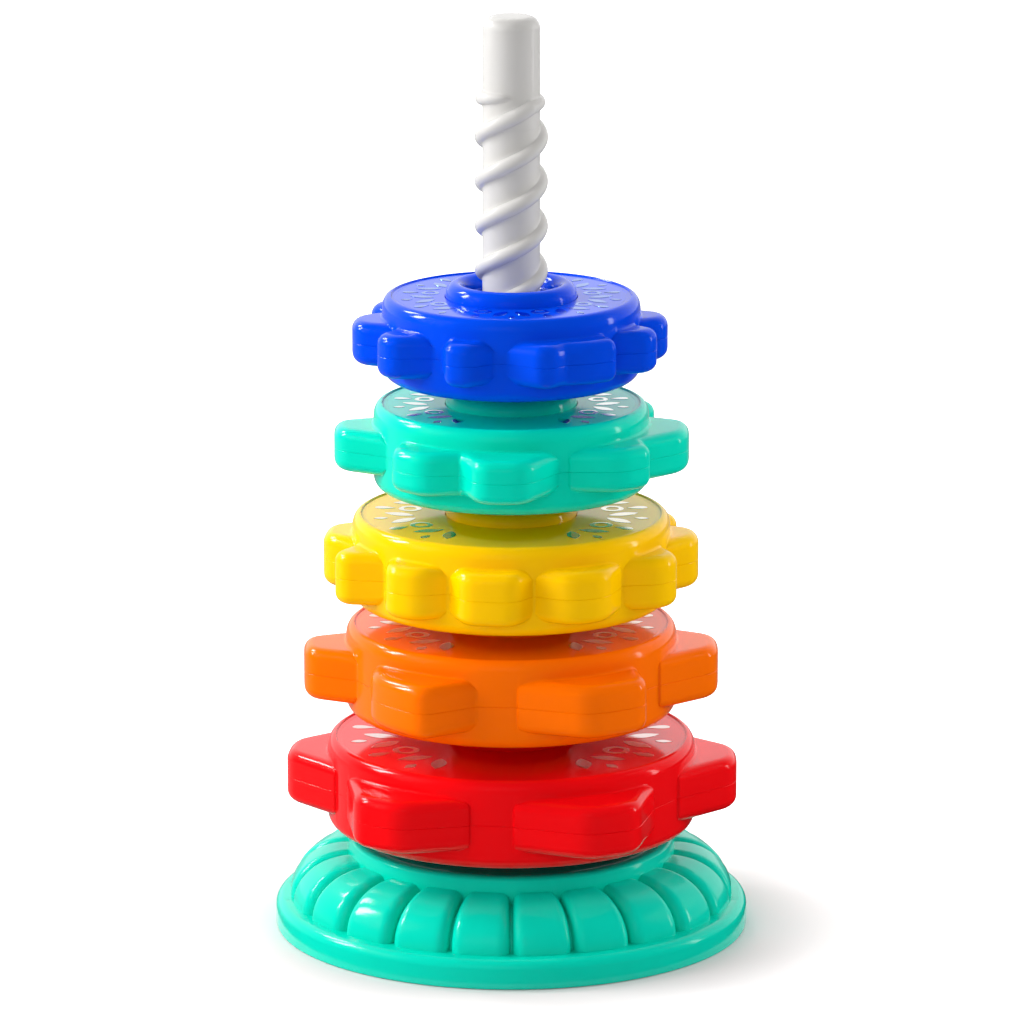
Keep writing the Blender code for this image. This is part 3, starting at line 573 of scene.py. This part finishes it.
def gear_columns(radius, teeth):
    """Points round a disc's outline, each with the point on the body that it springs from."""
    edges = gear_edges(radius, teeth)
    lengths = [length_of(points) for points, _, _ in edges]
    setbacks = []
    for i, (_, rounding, _) in enumerate(edges):
        room = min(lengths[i], lengths[(i + 1) % len(edges)])
        setbacks.append(min(rounding, ROUNDING_SHARE * room))
    outline = []
    for i, (points, _, on_tooth) in enumerate(edges):
        middle = stretch(points, setbacks[i - 1], lengths[i] - setbacks[i], OUTLINE_SPACING)
        corner = points[-1]
        after = edges[(i + 1) % len(edges)][0]
        beyond = stretch(after, 0.0, setbacks[i], 1.0)[-1]
        outline += [(point, on_tooth) for point in middle]
        for k in range(1, ROUNDING_STEPS):
            t = k / ROUNDING_STEPS
            point = middle[-1] * (1 - t) ** 2 + corner * (2 * t * (1 - t)) + beyond * t * t
            outline.append((point, True))
    # Each run of points off the body is spread evenly over the part of the body under it.
    # The line starts on a tooth's flank, so it is turned to start on the body.
    while outline[0][1]:
        outline.append(outline.pop(0))
    columns, run = [], []
    for point, on_tooth in outline + outline[:1]:
        if on_tooth:
            run.append(point)
            continue
        if run:
            first, last = columns[-1][0], point
            width = (azimuth_of(last) - azimuth_of(first)) % 360.0
            total = length_of([first] + run + [last])
            covered, previous = 0.0, first
            for p in run:
                covered += (p - previous).length
                previous = p
                body = around(radius, azimuth_of(first) + width * covered / total)
                columns.append((p, body))
            run = []
        columns.append((point, point.copy()))
    return columns[:-1]


def flat(points):
    """Points as rows of their places in plan."""
    return np.array([(p.x, p.y) for p in points])


def raised(plan, height):
    """A ring of points from their places in plan and one height, or one for each."""
    return np.column_stack([plan, np.broadcast_to(height, len(plan))])


def reach(points, outline):
    """How far each point lies from the closed outline."""
    start = outline[None]
    along = (np.roll(outline, -1, axis=0) - outline)[None]
    to_point = points[:, None] - start
    share = np.clip((to_point * along).sum(-1) / (along * along).sum(-1), 0.0, 1.0)
    return np.linalg.norm(to_point - share[..., None] * along, axis=-1).min(axis=1)


def toothed_wall(columns, seam, edge, up, fillet):
    """Rings from the seam, over the teeth's rounded edges and in to the body's wall."""
    outline = flat([point for point, _ in columns])
    body = flat([foot for _, foot in columns])
    along = np.roll(outline, -1, axis=0) - np.roll(outline, 1, axis=0)
    outward = np.column_stack([along[:, 1], -along[:, 0]])
    outward /= np.linalg.norm(outward, axis=1)[:, None]
    rings = []
    for inset, rise in SEAM_PROFILE:
        rings.append(raised(outline - outward * inset, seam + up * rise))
    # Over each point of a tooth the top drops near the outline, as a rounded edge does.
    depth = np.linalg.norm(outline - body, axis=1)
    spring = np.minimum(fillet, FILLET_SHARE * depth)[:, None]
    end = body * (1 + spring / np.linalg.norm(body, axis=1)[:, None])
    across = np.maximum(((outline - end) * outward).sum(axis=1), 1e-7)
    widest = np.arccos(np.clip(1 - across / TOOTH_EDGE, 0.0, 1.0))

    def drop(plan):
        """How far the top has dropped over each point."""
        inside = np.minimum(reach(plan, outline), TOOTH_EDGE)
        return TOOTH_EDGE - np.sqrt(np.maximum(TOOTH_EDGE**2 - (TOOTH_EDGE - inside) ** 2, 0.0))

    for k in range(EDGE_STEPS + 1):
        rounded = TOOTH_EDGE * (1 - np.cos(widest * k / EDGE_STEPS))
        share = np.minimum(rounded / across, 1.0)[:, None]
        plan = outline + (end - outline) * share
        rings.append(raised(plan, edge - up * (drop(plan) if k else TOOTH_EDGE)))
    for share in (0.5, 1.0):
        plan = plan + (end - plan) * share
        rings.append(raised(plan, edge - up * drop(plan)))
    foot = rings[-1][:, 2]
    for k in range(1, FILLET_STEPS + 1):
        angle = math.radians(90.0 * k / FILLET_STEPS)
        plan = body + (end - body) * (1 - math.sin(angle))
        rings.append(raised(plan, foot + up * spring[:, 0] * (1 - math.cos(angle))))
    return rings


def body_rings(columns, profile):
    """Rings on the disc's round body, from (inset from the wall, height)."""
    body = flat([foot for _, foot in columns])
    radius = np.linalg.norm(body, axis=1)[:, None]
    return [raised(body * (1 - inset / radius), height) for inset, height in profile]


def shell_top(name, radius, low, thickness, seam, half_tooth, columns):
    """The upper half of a disc: teeth, wall, rounded rim and the recess for the face plate."""
    top = low + thickness
    rings = toothed_wall(columns, low + seam, low + seam + half_tooth, 1, TOP_FILLET)
    centre = (RIM_ROUNDING_WIDTH, top - RIM_ROUNDING_HEIGHT)
    rounding = arc(centre, -RIM_ROUNDING_WIDTH, RIM_ROUNDING_HEIGHT, 0, 90, 10)
    recess = top - PLATE_DEPTH - PLATE_THICKNESS - SEAM_GAP
    lip = [(RIM_WIDTH - inset, top - drop) for inset, drop in RIM_LIP]
    lip += [(RIM_WIDTH, top - PLATE_DEPTH), (RIM_WIDTH, recess)]
    rings += body_rings(columns, rounding + lip + [(radius - HUB_RADIUS - SEAM_GAP, recess)])
    return skin(f"{name}_shell_top", rings)


def shell_bottom(name, low, seam, half_tooth, columns):
    """The lower half of a disc: a rounded foot, wall and teeth."""
    edge = seam - half_tooth
    rings = toothed_wall(columns, low + seam, low + edge, -1, FOOT_FILLET)
    rounding = foot_rounding(seam, half_tooth)
    foot = arc((rounding, low + rounding), -rounding, rounding, 0, -90, 10)
    rings += body_rings(columns, foot)
    return skin(f"{name}_shell_bottom", rings[::-1])


def foot_rounding(seam, half_tooth):
    """The radius of a disc's lower edge, which stays clear of the teeth."""
    return min(FOOT_ROUNDING, seam - half_tooth - FOOT_FILLET - FOOT_CLEARANCE)


def underside(name, radius, low, rounding):
    """The disc's flat underside, with a deep well for each screw."""
    outer = radius - rounding
    plan = bmesh.new()

    def loop(size, height, count, centre=Vector((0, 0, 0))):
        """A ring of corners."""
        turns = [360.0 * i / count for i in range(count)]
        return [plan.verts.new(centre + around(size, turn, height)) for turn in turns]

    def border(corners):
        """The edges round a ring, where the flat face stops."""
        return [plan.edges.new((a, b)) for a, b in zip(corners, corners[1:] + corners[:1])]

    def wall(lower, upper):
        """Quads from one ring to the next."""
        for i in range(len(lower)):
            j = (i + 1) % len(lower)
            plan.faces.new((lower[i], upper[i], upper[j], lower[j]))

    mouth = loop(HUB_RADIUS + SEAM_GAP, low, MOUTH_SIDES)
    borders = border(loop(outer, low, FOOT_SIDES)) + border(mouth)
    wall(mouth, loop(HUB_RADIUS + SEAM_GAP, low + HUB_MOUTH_DEPTH, MOUTH_SIDES))
    for screw_azimuth in SCREW_AZIMUTHS:
        place = around(SCREW_CIRCLE, screw_azimuth)
        rings = [(WELL_RADIUS + WELL_BREAK, low), (WELL_RADIUS, low + WELL_BREAK)]
        rings += [(WELL_RADIUS, low + WELL_DEPTH), (WELL_FLOOR_RADIUS, low + WELL_DEPTH)]
        loops = [loop(size, height, WELL_SIDES, place) for size, height in rings]
        borders += border(loops[0])
        for lower, upper in zip(loops, loops[1:]):
            wall(lower, upper)
    bmesh.ops.triangle_fill(plan, use_beauty=True, edges=borders, normal=(0, 0, -1))
    bmesh.ops.recalc_face_normals(plan, faces=plan.faces)
    mesh = bpy.data.meshes.new(f"{name}_underside")
    plan.to_mesh(mesh)
    plan.free()
    return shaded(f"{name}_underside", mesh, CRISP_ANGLE_BELOW)


def face_plate(name, radius, top):
    """The sunk plate, with a fine groove near its edge."""
    level = top - PLATE_DEPTH
    inner, outer = COLLAR_RADIUS + SEAM_GAP, radius - RIM_WIDTH
    profile = [(inner, level - PLATE_THICKNESS), (outer, level - PLATE_THICKNESS), (outer, level)]
    near, middle, far = [outer - inset for inset in GROOVE_INSETS]
    profile += [(near, level), (middle, level - GROOVE_DEPTH), (far, level)]
    profile += [(inner + PLATE_BREAK, level), (inner, level - PLATE_BREAK)]
    return turned(f"{name}_plate", profile, PLATE_SIDES)


def leaf(length, width):
    """A pointed leaf about the origin, its length along X."""
    upper = []
    for i in range(13):
        share = i / 12
        across = width / 2 * math.sin(math.pi * share) ** LEAF_FULLNESS
        upper.append((length * (share - 0.5), across))
    return [(x, -y) for x, y in upper] + upper[-2:0:-1]


def seed(length, width):
    """A drop about the origin, its point inwards along X."""
    points = []
    for i in range(28):
        angle = 2 * math.pi * i / 28
        across = width / 2 * math.sin(angle) * math.sin(angle / 2) ** SEED_SLIMNESS
        points.append((-length / 2 * math.cos(angle), -across))
    return points


def in_opening(azimuth):
    """Whether an azimuth is in the border's opening."""
    return abs((azimuth + 180.0) % 360.0 - 180.0) < OPENING_HALF_ANGLE


def foil_border(name, radius, top):
    """The raised border on the face plate: leaves in pairs, rings and seeds."""
    level = top - PLATE_DEPTH
    outer = radius - RIM_WIDTH - SEAM_GAP
    scale = outer / BORDER_RADIUS
    points, faces = [], []

    def raise_shape(outline, azimuth, at, shift=0.0, turn=0.0, hole=None):
        """Raises an outline at an azimuth, a distance out, a shift along and a turn."""
        base, count = len(points), len(outline)
        shoulder = BORDER_HEIGHT * BORDER_SHOULDER
        layers = [(1.0, -BORDER_ROOT), (1.0, shoulder), (BORDER_CREST, BORDER_HEIGHT)]
        if hole:
            layers += [(hole * HOLE_CREST, BORDER_HEIGHT), (hole, shoulder)]
            layers += [(hole, -BORDER_ROOT)]
        cosine, sine = math.cos(math.radians(turn)), math.sin(math.radians(turn))
        for size, rise in layers:
            for x, y in outline:
                out = at + size * (x * cosine - y * sine)
                along = shift + size * (x * sine + y * cosine)
                points.append(around(out, azimuth, level + rise) + around(along, azimuth + 90.0))
        for k in range(len(layers) - 1):
            for i in range(count):
                j = (i + 1) % count
                low, high = base + k * count, base + (k + 1) * count
                faces.append((low + i, low + j, high + j, high + i))
        if not hole:
            faces.append(tuple(base + 2 * count + i for i in range(count)))

    step = 360.0 / BORDER_REPEATS
    ring_radius = RING_RADIUS * scale
    turns = [math.radians(15 * i) for i in range(24)]
    ring = [(math.cos(a) * ring_radius, math.sin(a) * ring_radius) for a in turns]
    drop = seed(*[size * scale for size in SEED_SIZE])
    long_leaf = leaf(*[size * scale for size in LONG_LEAF_SIZE])
    short_leaf = leaf(*[size * scale for size in SHORT_LEAF_SIZE])
    unbroken = name == TOP_DISC
    for i in range(BORDER_REPEATS):
        azimuth = step * (i + 0.5)
        if unbroken or not in_opening(azimuth):
            raise_shape(ring, azimuth, RING_AT * outer, hole=RING_HOLE)
            raise_shape(drop, azimuth, SEED_AT * outer)
        azimuth += step / 2
        if unbroken or not in_opening(azimuth):
            for side in (-1, 1):
                aside = side * LONG_LEAF_ASIDE * scale
                turn = side * LONG_LEAF_TURN
                raise_shape(long_leaf, azimuth, LONG_LEAF_AT * outer, aside, turn)
            raise_shape(short_leaf, azimuth, SHORT_LEAF_AT * outer)
    return finished(f"{name}_border", [tuple(point) for point in points], faces)


def collar(name, top):
    """The half-round ring about the hole."""
    level = top - PLATE_DEPTH
    half = (COLLAR_RADIUS - COLLAR_HOLE) / 2
    profile = [(COLLAR_HOLE, level - PLATE_THICKNESS), (COLLAR_RADIUS, level - PLATE_THICKNESS)]
    profile += arc((COLLAR_HOLE + half, level), half, COLLAR_HEIGHT, 0, 180, 20)
    return turned(f"{name}_ring", profile, COLLAR_SIDES)


def hub_sleeve(name, low, top, rest_on):
    """The bored tube on the post, with the boss that rests on the disc below."""
    crest = top - PLATE_DEPTH + HUB_RISE
    profile = [(HUB_BORE, rest_on + EDGE_BREAK), (HUB_BORE + EDGE_BREAK, rest_on)]
    centre = (HUB_BOSS_RADIUS - BOSS_ROUNDING, rest_on + BOSS_ROUNDING)
    profile += arc(centre, BOSS_ROUNDING, BOSS_ROUNDING, -90, 0, 4)
    profile += [(HUB_BOSS_RADIUS, low - SEAM_GAP), (HUB_RADIUS, low - SEAM_GAP)]
    centre = (HUB_RADIUS - HUB_ROUNDING, crest - HUB_ROUNDING)
    profile += arc(centre, HUB_ROUNDING, HUB_ROUNDING, 0, 90, 4)
    profile += [(HUB_BORE + EDGE_BREAK, crest), (HUB_BORE, crest - EDGE_BREAK)]
    return turned(f"{name}_sleeve", profile, HUB_SIDES)


def build_disc(name, radius, low, thickness, seam, half_tooth, teeth, rest_on):
    """A gear disc: shell, face plate with its border, collar, and hub down to what it rests on."""
    colour, shade, tint = COLOURS[name]
    shell_abs = moulded_plastic(f"{name}_abs_moulded", colour, shade, 0.115)
    plate_abs = moulded_plastic(f"{name}_abs_polished", colour, shade, 0.09, grain=0.02, shine=0.5)
    foil = stamped_foil(f"{name}_stamped_foil", tint)
    top = low + thickness
    columns = gear_columns(radius, teeth)
    disc = f"{name}_disc"
    shell = shell_top(name, radius, low, thickness, seam, half_tooth, columns)
    dress(shell, disc, shell_abs, f"{name}_plastic", f"{name}_upper_shell")
    shell = shell_bottom(name, low, seam, half_tooth, columns)
    dress(shell, disc, shell_abs, f"{name}_plastic", f"{name}_lower_shell")
    below = underside(name, radius, low, foot_rounding(seam, half_tooth))
    dress(below, disc, shell_abs, f"{name}_plastic", f"{name}_lower_shell")
    plate = face_plate(name, radius, top)
    dress(plate, disc, plate_abs, f"{name}_face_plastic", f"{name}_face_plate")
    border = foil_border(name, radius, top)
    dress(border, disc, foil, f"{name}_face_plastic", f"{name}_face_plate")
    ring = collar(name, top)
    dress(ring, f"{name}_collar", shell_abs, f"{name}_face_plastic", f"{name}_collar")
    sleeve = hub_sleeve(name, low, top, rest_on + SEAM_GAP)
    dress(sleeve, disc, shell_abs, f"{name}_hub_plastic", f"{name}_hub")


rest_on = DECK_Z
for name, radius, low, thickness, seam, half_tooth, teeth in DISCS:
    build_disc(name, radius, low, thickness, seam, half_tooth, teeth, rest_on)
    rest_on = low + thickness - PLATE_DEPTH + COLLAR_HEIGHT


# Post


def rib_line():
    """Both ribs' centre lines, as rows of (length round the post, height, rib radius, crest)."""
    rows = []
    climb = THREAD_LEAD / 360.0
    for start in range(THREAD_STARTS):
        azimuth = start * 360.0 / THREAD_STARTS + 90.0
        azimuth -= (RIB_CROSSING_Z - RIB_FOOT_Z) / climb
        height = RIB_FOOT_Z
        level, end, lateness = RIB_TOPS[start]
        while height < end:
            # Near its top a rib levels out and thins.
            share = max((height - level) / (end - level), 0.0) ** lateness
            radius = RIB_RADIUS + (RIB_END_RADIUS - RIB_RADIUS) * share
            crest = RIB_CREST_RADIUS + (RIB_END_CREST_RADIUS - RIB_CREST_RADIUS) * share
            from_foot = (height - RIB_FOOT_Z) / RIB_FOOT_TAPER
            near_end = min(from_foot, (end - height) / RIB_END_TAPER, 1.0)
            strength = math.sqrt(max(1 - (1 - near_end) ** 2, 0.0))
            rows.append((math.radians(azimuth), height, radius * strength, crest))
            azimuth += RIB_STEP
            height += RIB_STEP * climb * (1.0 if height < level else RIB_LEVELLING)
    return np.array(rows)


def ribbed_ring(height, ribs, turned_at, inset=0.0):
    """One ring of the post. Its columns turn with the ribs, and most of them lie on the ribs."""
    climb = (height - POST_FOOT_Z) / (POST_TOP_Z - POST_FOOT_Z)
    core = POST_FOOT_RADIUS + (POST_TIP_RADIUS - POST_FOOT_RADIUS) * climb
    crest_azimuth = 360.0 * (turned_at - RIB_CROSSING_Z) / THREAD_LEAD + 90.0
    half_turn = 360.0 / THREAD_STARTS / 2
    near = ribs[np.abs(ribs[:, 1] - height) < 2 * RIB_RADIUS]
    ring = []
    for start in range(THREAD_STARTS):
        for step in range(-HALF_RIB_COLUMNS, HALF_RIB_COLUMNS):
            share = step / HALF_RIB_COLUMNS
            spread = COLUMN_EVENNESS * share + (1 - COLUMN_EVENNESS) * share**3
            offset = half_turn * spread
            azimuth = crest_azimuth + start * 360.0 / THREAD_STARTS + offset
            rise = 0.0
            if len(near):
                turn = near[:, 0] - math.radians(azimuth)
                turn -= 2 * math.pi * np.round(turn / (2 * math.pi))
                across = np.hypot(turn * RIB_CREST_RADIUS, near[:, 1] - height)
                bulge = near[:, 3] - near[:, 2] - core
                bulge += np.sqrt(np.maximum(near[:, 2] ** 2 - across**2, 0.0))
                # The rib runs out into the core with a small fillet.
                rises = (bulge + np.sqrt(bulge * bulge + 4 * RIB_FILLET * RIB_FILLET)) / 2
                beyond = np.maximum(across - near[:, 2], 0.0) / RIB_FADE
                rises *= np.exp(-(beyond**2)) * np.minimum(near[:, 2] / RIB_FADE, 1.0)
                rise = float(rises.max())
            ring.append(around(core + rise - inset, azimuth, height))
    return ring


def post_form():
    """The post: rings of points close together along its ribs, and a rounded tip."""
    ribs = rib_line()
    bare = ribs[:0]
    foot, top = RIB_FOOT_Z - RING_MARGIN, RIB_TOP_Z + RING_MARGIN
    lower, upper = LOWER_RINGS_TOP_Z - foot, top - UPPER_RINGS_FOOT_Z
    heights = [foot + lower * i / LOWER_RINGS for i in range(LOWER_RINGS)]
    heights += [UPPER_RINGS_FOOT_Z + upper * i / UPPER_RINGS for i in range(UPPER_RINGS + 1)]
    rings = [ribbed_ring(POST_FOOT_Z, bare, heights[0])]
    rings += [ribbed_ring(height, ribs, height) for height in heights]
    low = POST_TOP_Z - POST_TOP_ROUNDING
    rings.append(ribbed_ring((RIB_TOP_Z + low) / 2, bare, heights[-1]))
    for i in range(POST_TOP_STEPS + 1):
        angle = math.radians(90.0 * i / POST_TOP_STEPS)
        inset = POST_TOP_ROUNDING * (1 - math.cos(angle))
        height = low + POST_TOP_ROUNDING * math.sin(angle)
        rings.append(ribbed_ring(height, bare, heights[-1], inset))
    flat_top = [Vector((p.x, p.y, 0.0)) * POST_TOP_CLOSING for p in rings[-1]]
    rings.append([Vector((0.0, 0.0, POST_TOP_Z)) + p for p in flat_top])
    return skin("ribbed_post", rings)


dress(post_form(), "base", POST_ABS, "post_plastic", "post")


# Base


def lobe_curve(drop, share):
    """A point on the lobes' curve, lowered by drop, from the neck at 0 to the foot at 1."""
    angle = math.radians(90.0 * (1 - share))
    width, height = LOBE_RADIUS - NECK_RADIUS - drop, LOBE_TOP_Z - LOBE_FOOT_Z - drop
    return NECK_RADIUS + width * math.cos(angle), LOBE_FOOT_Z + height * math.sin(angle)


def lobe_fullness(fraction):
    """How far a lobe stands out of its grooves, from a fraction of its width."""
    from_groove = (0.5 - abs(fraction) - GROOVE_HALF_WIDTH) / LOBE_SIDE
    return math.sqrt(1 - (1 - min(max(from_groove, 0.0), 1.0)) ** 2)


def base_form():
    """The base: flange, a wreath of lobes, neck, shoulder and deck, down into the socket."""
    fractions = LOBE_COLUMNS + [-f for f in LOBE_COLUMNS[-2:0:-1]]
    columns = []
    for lobe in range(LOBE_COUNT):
        for fraction in fractions:
            columns.append((360.0 * (lobe + 0.5 + fraction) / LOBE_COUNT, lobe_fullness(fraction)))
    inside = BASE_RADIUS - BASE_WALL
    profile = [(inside, FLANGE_HEIGHT - BASE_WALL), (inside, 0.0)]
    profile += [(BASE_RADIUS - inset, height) for inset, height in FLANGE_FOOT]
    flange = (BASE_RADIUS - FLANGE_ROUNDING, FLANGE_HEIGHT - FLANGE_ROUNDING)
    profile += arc(flange, FLANGE_ROUNDING, FLANGE_ROUNDING, 0, 86, 8)
    rings = []
    for radius, height in profile:
        rings.append([around(radius, azimuth, height) for azimuth, _ in columns])
    for step in range(LOBE_STEPS, -1, -1):
        share = step / LOBE_STEPS
        high, low = lobe_curve(0.0, share), lobe_curve(LOBE_DEPTH, share)
        ring = []
        for azimuth, full in columns:
            radius = low[0] + (high[0] - low[0]) * full
            ring.append(around(radius, azimuth, low[1] + (high[1] - low[1]) * full))
        rings.append(ring)
    neck = [(NECK_RADIUS, NECK_FOOT_Z), (NECK_RADIUS - NECK_DRAFT, NECK_TOP_Z)]
    neck += arc(SHOULDER_CENTRE, *SHOULDER_ROUNDING, 10, 90, 8)
    neck += arc(DECK_EDGE_CENTRE, *DECK_EDGE_ROUNDING, 90, 180, 4)
    neck += [(DECK_RADIUS, DECK_Z), (SOCKET_RADIUS, DECK_Z)]
    neck += [(SOCKET_RADIUS, DECK_Z - SOCKET_DEPTH)]
    for radius, height in neck:
        rings.append([around(radius, azimuth, height) for azimuth, _ in columns])
    return skin("lobed_base", rings)


dress(base_form(), "base", BASE_ABS, "base_plastic", "base_shell")


def cover_form():
    """The cover plate under the base, with a shallow groove round it."""
    outer, top = BASE_RADIUS - BASE_WALL - SEAM_GAP, COVER_Z + COVER_THICKNESS
    start, end = COVER_GROOVE
    sunk = COVER_Z + EDGE_BREAK
    profile = [(0.0, COVER_Z), (start, COVER_Z), (start + EDGE_BREAK, sunk)]
    profile += [(end - EDGE_BREAK, sunk), (end, COVER_Z), (outer - EDGE_BREAK, COVER_Z)]
    profile += [(outer, sunk), (outer, top), (0.0, top)]
    return turned("base_floor", profile, COVER_SIDES, closed=False)


dress(cover_form(), "base", COVER_ABS, "base_cover_plastic", "base_cover")

# Screws, washers and the post's anchor keep their shapes and only take their materials.
for cad_name in frame["nodes"]:
    if "screw" in cad_name or "washer" in cad_name:
        piece_material = STEEL
    elif cad_name == "post_anchor":
        piece_material = POST_ABS
    else:
        continue
    cad = bpy.data.objects.get(cad_name)
    if cad:
        cad.data.materials.clear()
        cad.data.materials.append(piece_material)


# Studio


def seen_directly(tree):
    """1 for what the camera, gloss or glass shows, and 0 for light that falls on a surface.

    With it comes 1 for gloss alone.
    """
    path = node(tree, "ShaderNodeLightPath")
    seen = path.outputs["Is Camera Ray"]
    for kind in ("Is Glossy Ray", "Is Transmission Ray"):
        both = {0: seen, 1: path.outputs[kind]}
        seen = node(tree, "ShaderNodeMath", {"operation": "MAXIMUM"}, both).outputs[0]
    return seen, path.outputs["Is Glossy Ray"]


def bare_material(name):
    """A material without nodes, and its tree."""
    material = bpy.data.materials.new(name)
    material.use_nodes = True
    tree = material.node_tree
    tree.nodes.clear()
    return material, tree


def white_light(tree, level):
    """A surface that glows white at a level."""
    return node(tree, "ShaderNodeEmission", {"Color": WHITE}, {"Strength": level}).outputs[0]


def studio_paper(name):
    """Matt white paper under the toy. Seen directly it glows a little, as lit paper does."""
    material, tree = bare_material(name)
    paper = node(tree, "ShaderNodeBsdfDiffuse", {"Color": srgb(PAPER_COLOUR)}).outputs[0]
    seen, _ = seen_directly(tree)
    # Away from the post the paper shows as plain white, without long side shadows.
    place = node(tree, "ShaderNodeTexCoord").outputs["Object"]
    span = node(tree, "ShaderNodeVectorMath", {"operation": "LENGTH"}, {0: place})
    level = ramp(tree, span.outputs["Value"], PAPER_TURN, (PAPER_GLOW, 1.0), "LINEAR")
    glow = node(tree, "ShaderNodeMath", {"operation": "MULTIPLY"}, {0: seen, 1: level})
    white = white_light(tree, glow.outputs[0])
    both = node(tree, "ShaderNodeAddShader", None, {0: paper, 1: white}).outputs[0]
    node(tree, "ShaderNodeOutputMaterial", None, {"Surface": both})
    return material


def sheet(name, corners, material):
    """A flat sheet of the studio, which is not part of the toy."""
    mesh = bpy.data.meshes.new(name)
    mesh.from_pydata(corners, [], [(0, 1, 2, 3)])
    mesh.materials.append(material)
    made = bpy.data.objects.new(name, mesh)
    bpy.context.scene.collection.objects.link(made)


def reflection_card():
    """A glowing sheet over the paper that only gloss sees, which paints the reflections of the
    floor: dark before the toy, white behind it.
    """
    material, tree = bare_material("reflection_card")
    place = node(tree, "ShaderNodeTexCoord").outputs["Object"]
    direction = node(tree, "ShaderNodeVectorMath", {"operation": "NORMALIZE"}, {0: place})
    # It glows white sooner on the left, as a painted reflection of light from that side.
    settings = {"operation": "DOT_PRODUCT", 1: CARD_SIDE}
    side = node(tree, "ShaderNodeVectorMath", settings, {0: direction.outputs["Vector"]})
    level = ramp(tree, side.outputs["Value"], CARD_TURN, CARD_LEVELS)
    node(tree, "ShaderNodeOutputMaterial", None, {"Surface": white_light(tree, level)})
    rings = [[around(size, 5.0 * i, CARD_HEIGHT) for i in range(72)] for size in CARD_RADII]
    card = skin("reflection_card", rings[::-1])
    card.modifiers.clear()
    card.data.materials.append(material)
    card.visible_camera = False
    card.visible_diffuse = False
    card.visible_shadow = False
    card.visible_transmission = False


def world():
    """The white room round the toy."""
    made = bpy.data.worlds.new("studio")
    bpy.context.scene.world = made
    made.use_nodes = True
    tree = made.node_tree
    tree.nodes.clear()
    seen, in_gloss = seen_directly(tree)
    # In gloss the room is white behind the toy and dim in front of it.
    place = node(tree, "ShaderNodeTexCoord").outputs["Generated"]
    depth = node(tree, "ShaderNodeSeparateXYZ", None, {"Vector": place}).outputs["Y"]
    room = ramp(tree, depth, ROOM_TURN, ROOM_LEVELS)
    settings = {"data_type": "FLOAT", 2: 1.0}
    shown = node(tree, "ShaderNodeMix", settings, {0: in_gloss, 3: room}).outputs[0]
    settings = {"data_type": "FLOAT", 2: AMBIENT_LEVEL}
    level = node(tree, "ShaderNodeMix", settings, {0: seen, 3: shown}).outputs[0]
    light = node(tree, "ShaderNodeBackground", {"Color": WHITE}, {"Strength": level})
    node(tree, "ShaderNodeOutputWorld", None, {"Surface": light.outputs[0]})


def softbox(name, azimuth, elevation, size, power, in_gloss):
    """A soft lamp that faces the toy, at an azimuth and an elevation."""
    lamp = bpy.data.lights.new(name, "AREA")
    lamp.shape = "RECTANGLE"
    lamp.size, lamp.size_y = size
    lamp.energy = power
    box = bpy.data.objects.new(name, lamp)
    bpy.context.scene.collection.objects.link(box)
    angle = math.radians(elevation)
    aim = around(LAMP_DISTANCE * math.cos(angle), azimuth, LAMP_DISTANCE * math.sin(angle))
    box.location = aim + Vector(LAMP_AIM)
    box.rotation_euler = (-aim).to_track_quat("-Z", "Y").to_euler()
    box.visible_glossy = in_gloss


def camera():
    """The photo's view: from far off, a little above the toy."""
    lens = bpy.data.cameras.new("camera")
    lens.sensor_width = SENSOR_WIDTH
    lens.lens = FOCAL_LENGTH * SENSOR_WIDTH
    lens.shift_x = CAMERA_SHIFT
    lens.clip_end = 50.0
    view = bpy.data.objects.new("camera", lens)
    bpy.context.scene.collection.objects.link(view)
    view.location = CAMERA_PLACE
    view.rotation_euler = (math.radians(90.0 - CAMERA_PITCH), 0.0, 0.0)
    bpy.context.scene.camera = view


bpy.context.scene.view_settings.view_transform = "Standard"
sheet("floor", PAPER_CORNERS, studio_paper("studio_paper"))
reflection_card()
world()
camera()
for lamp in LAMPS:
    softbox(*lamp)
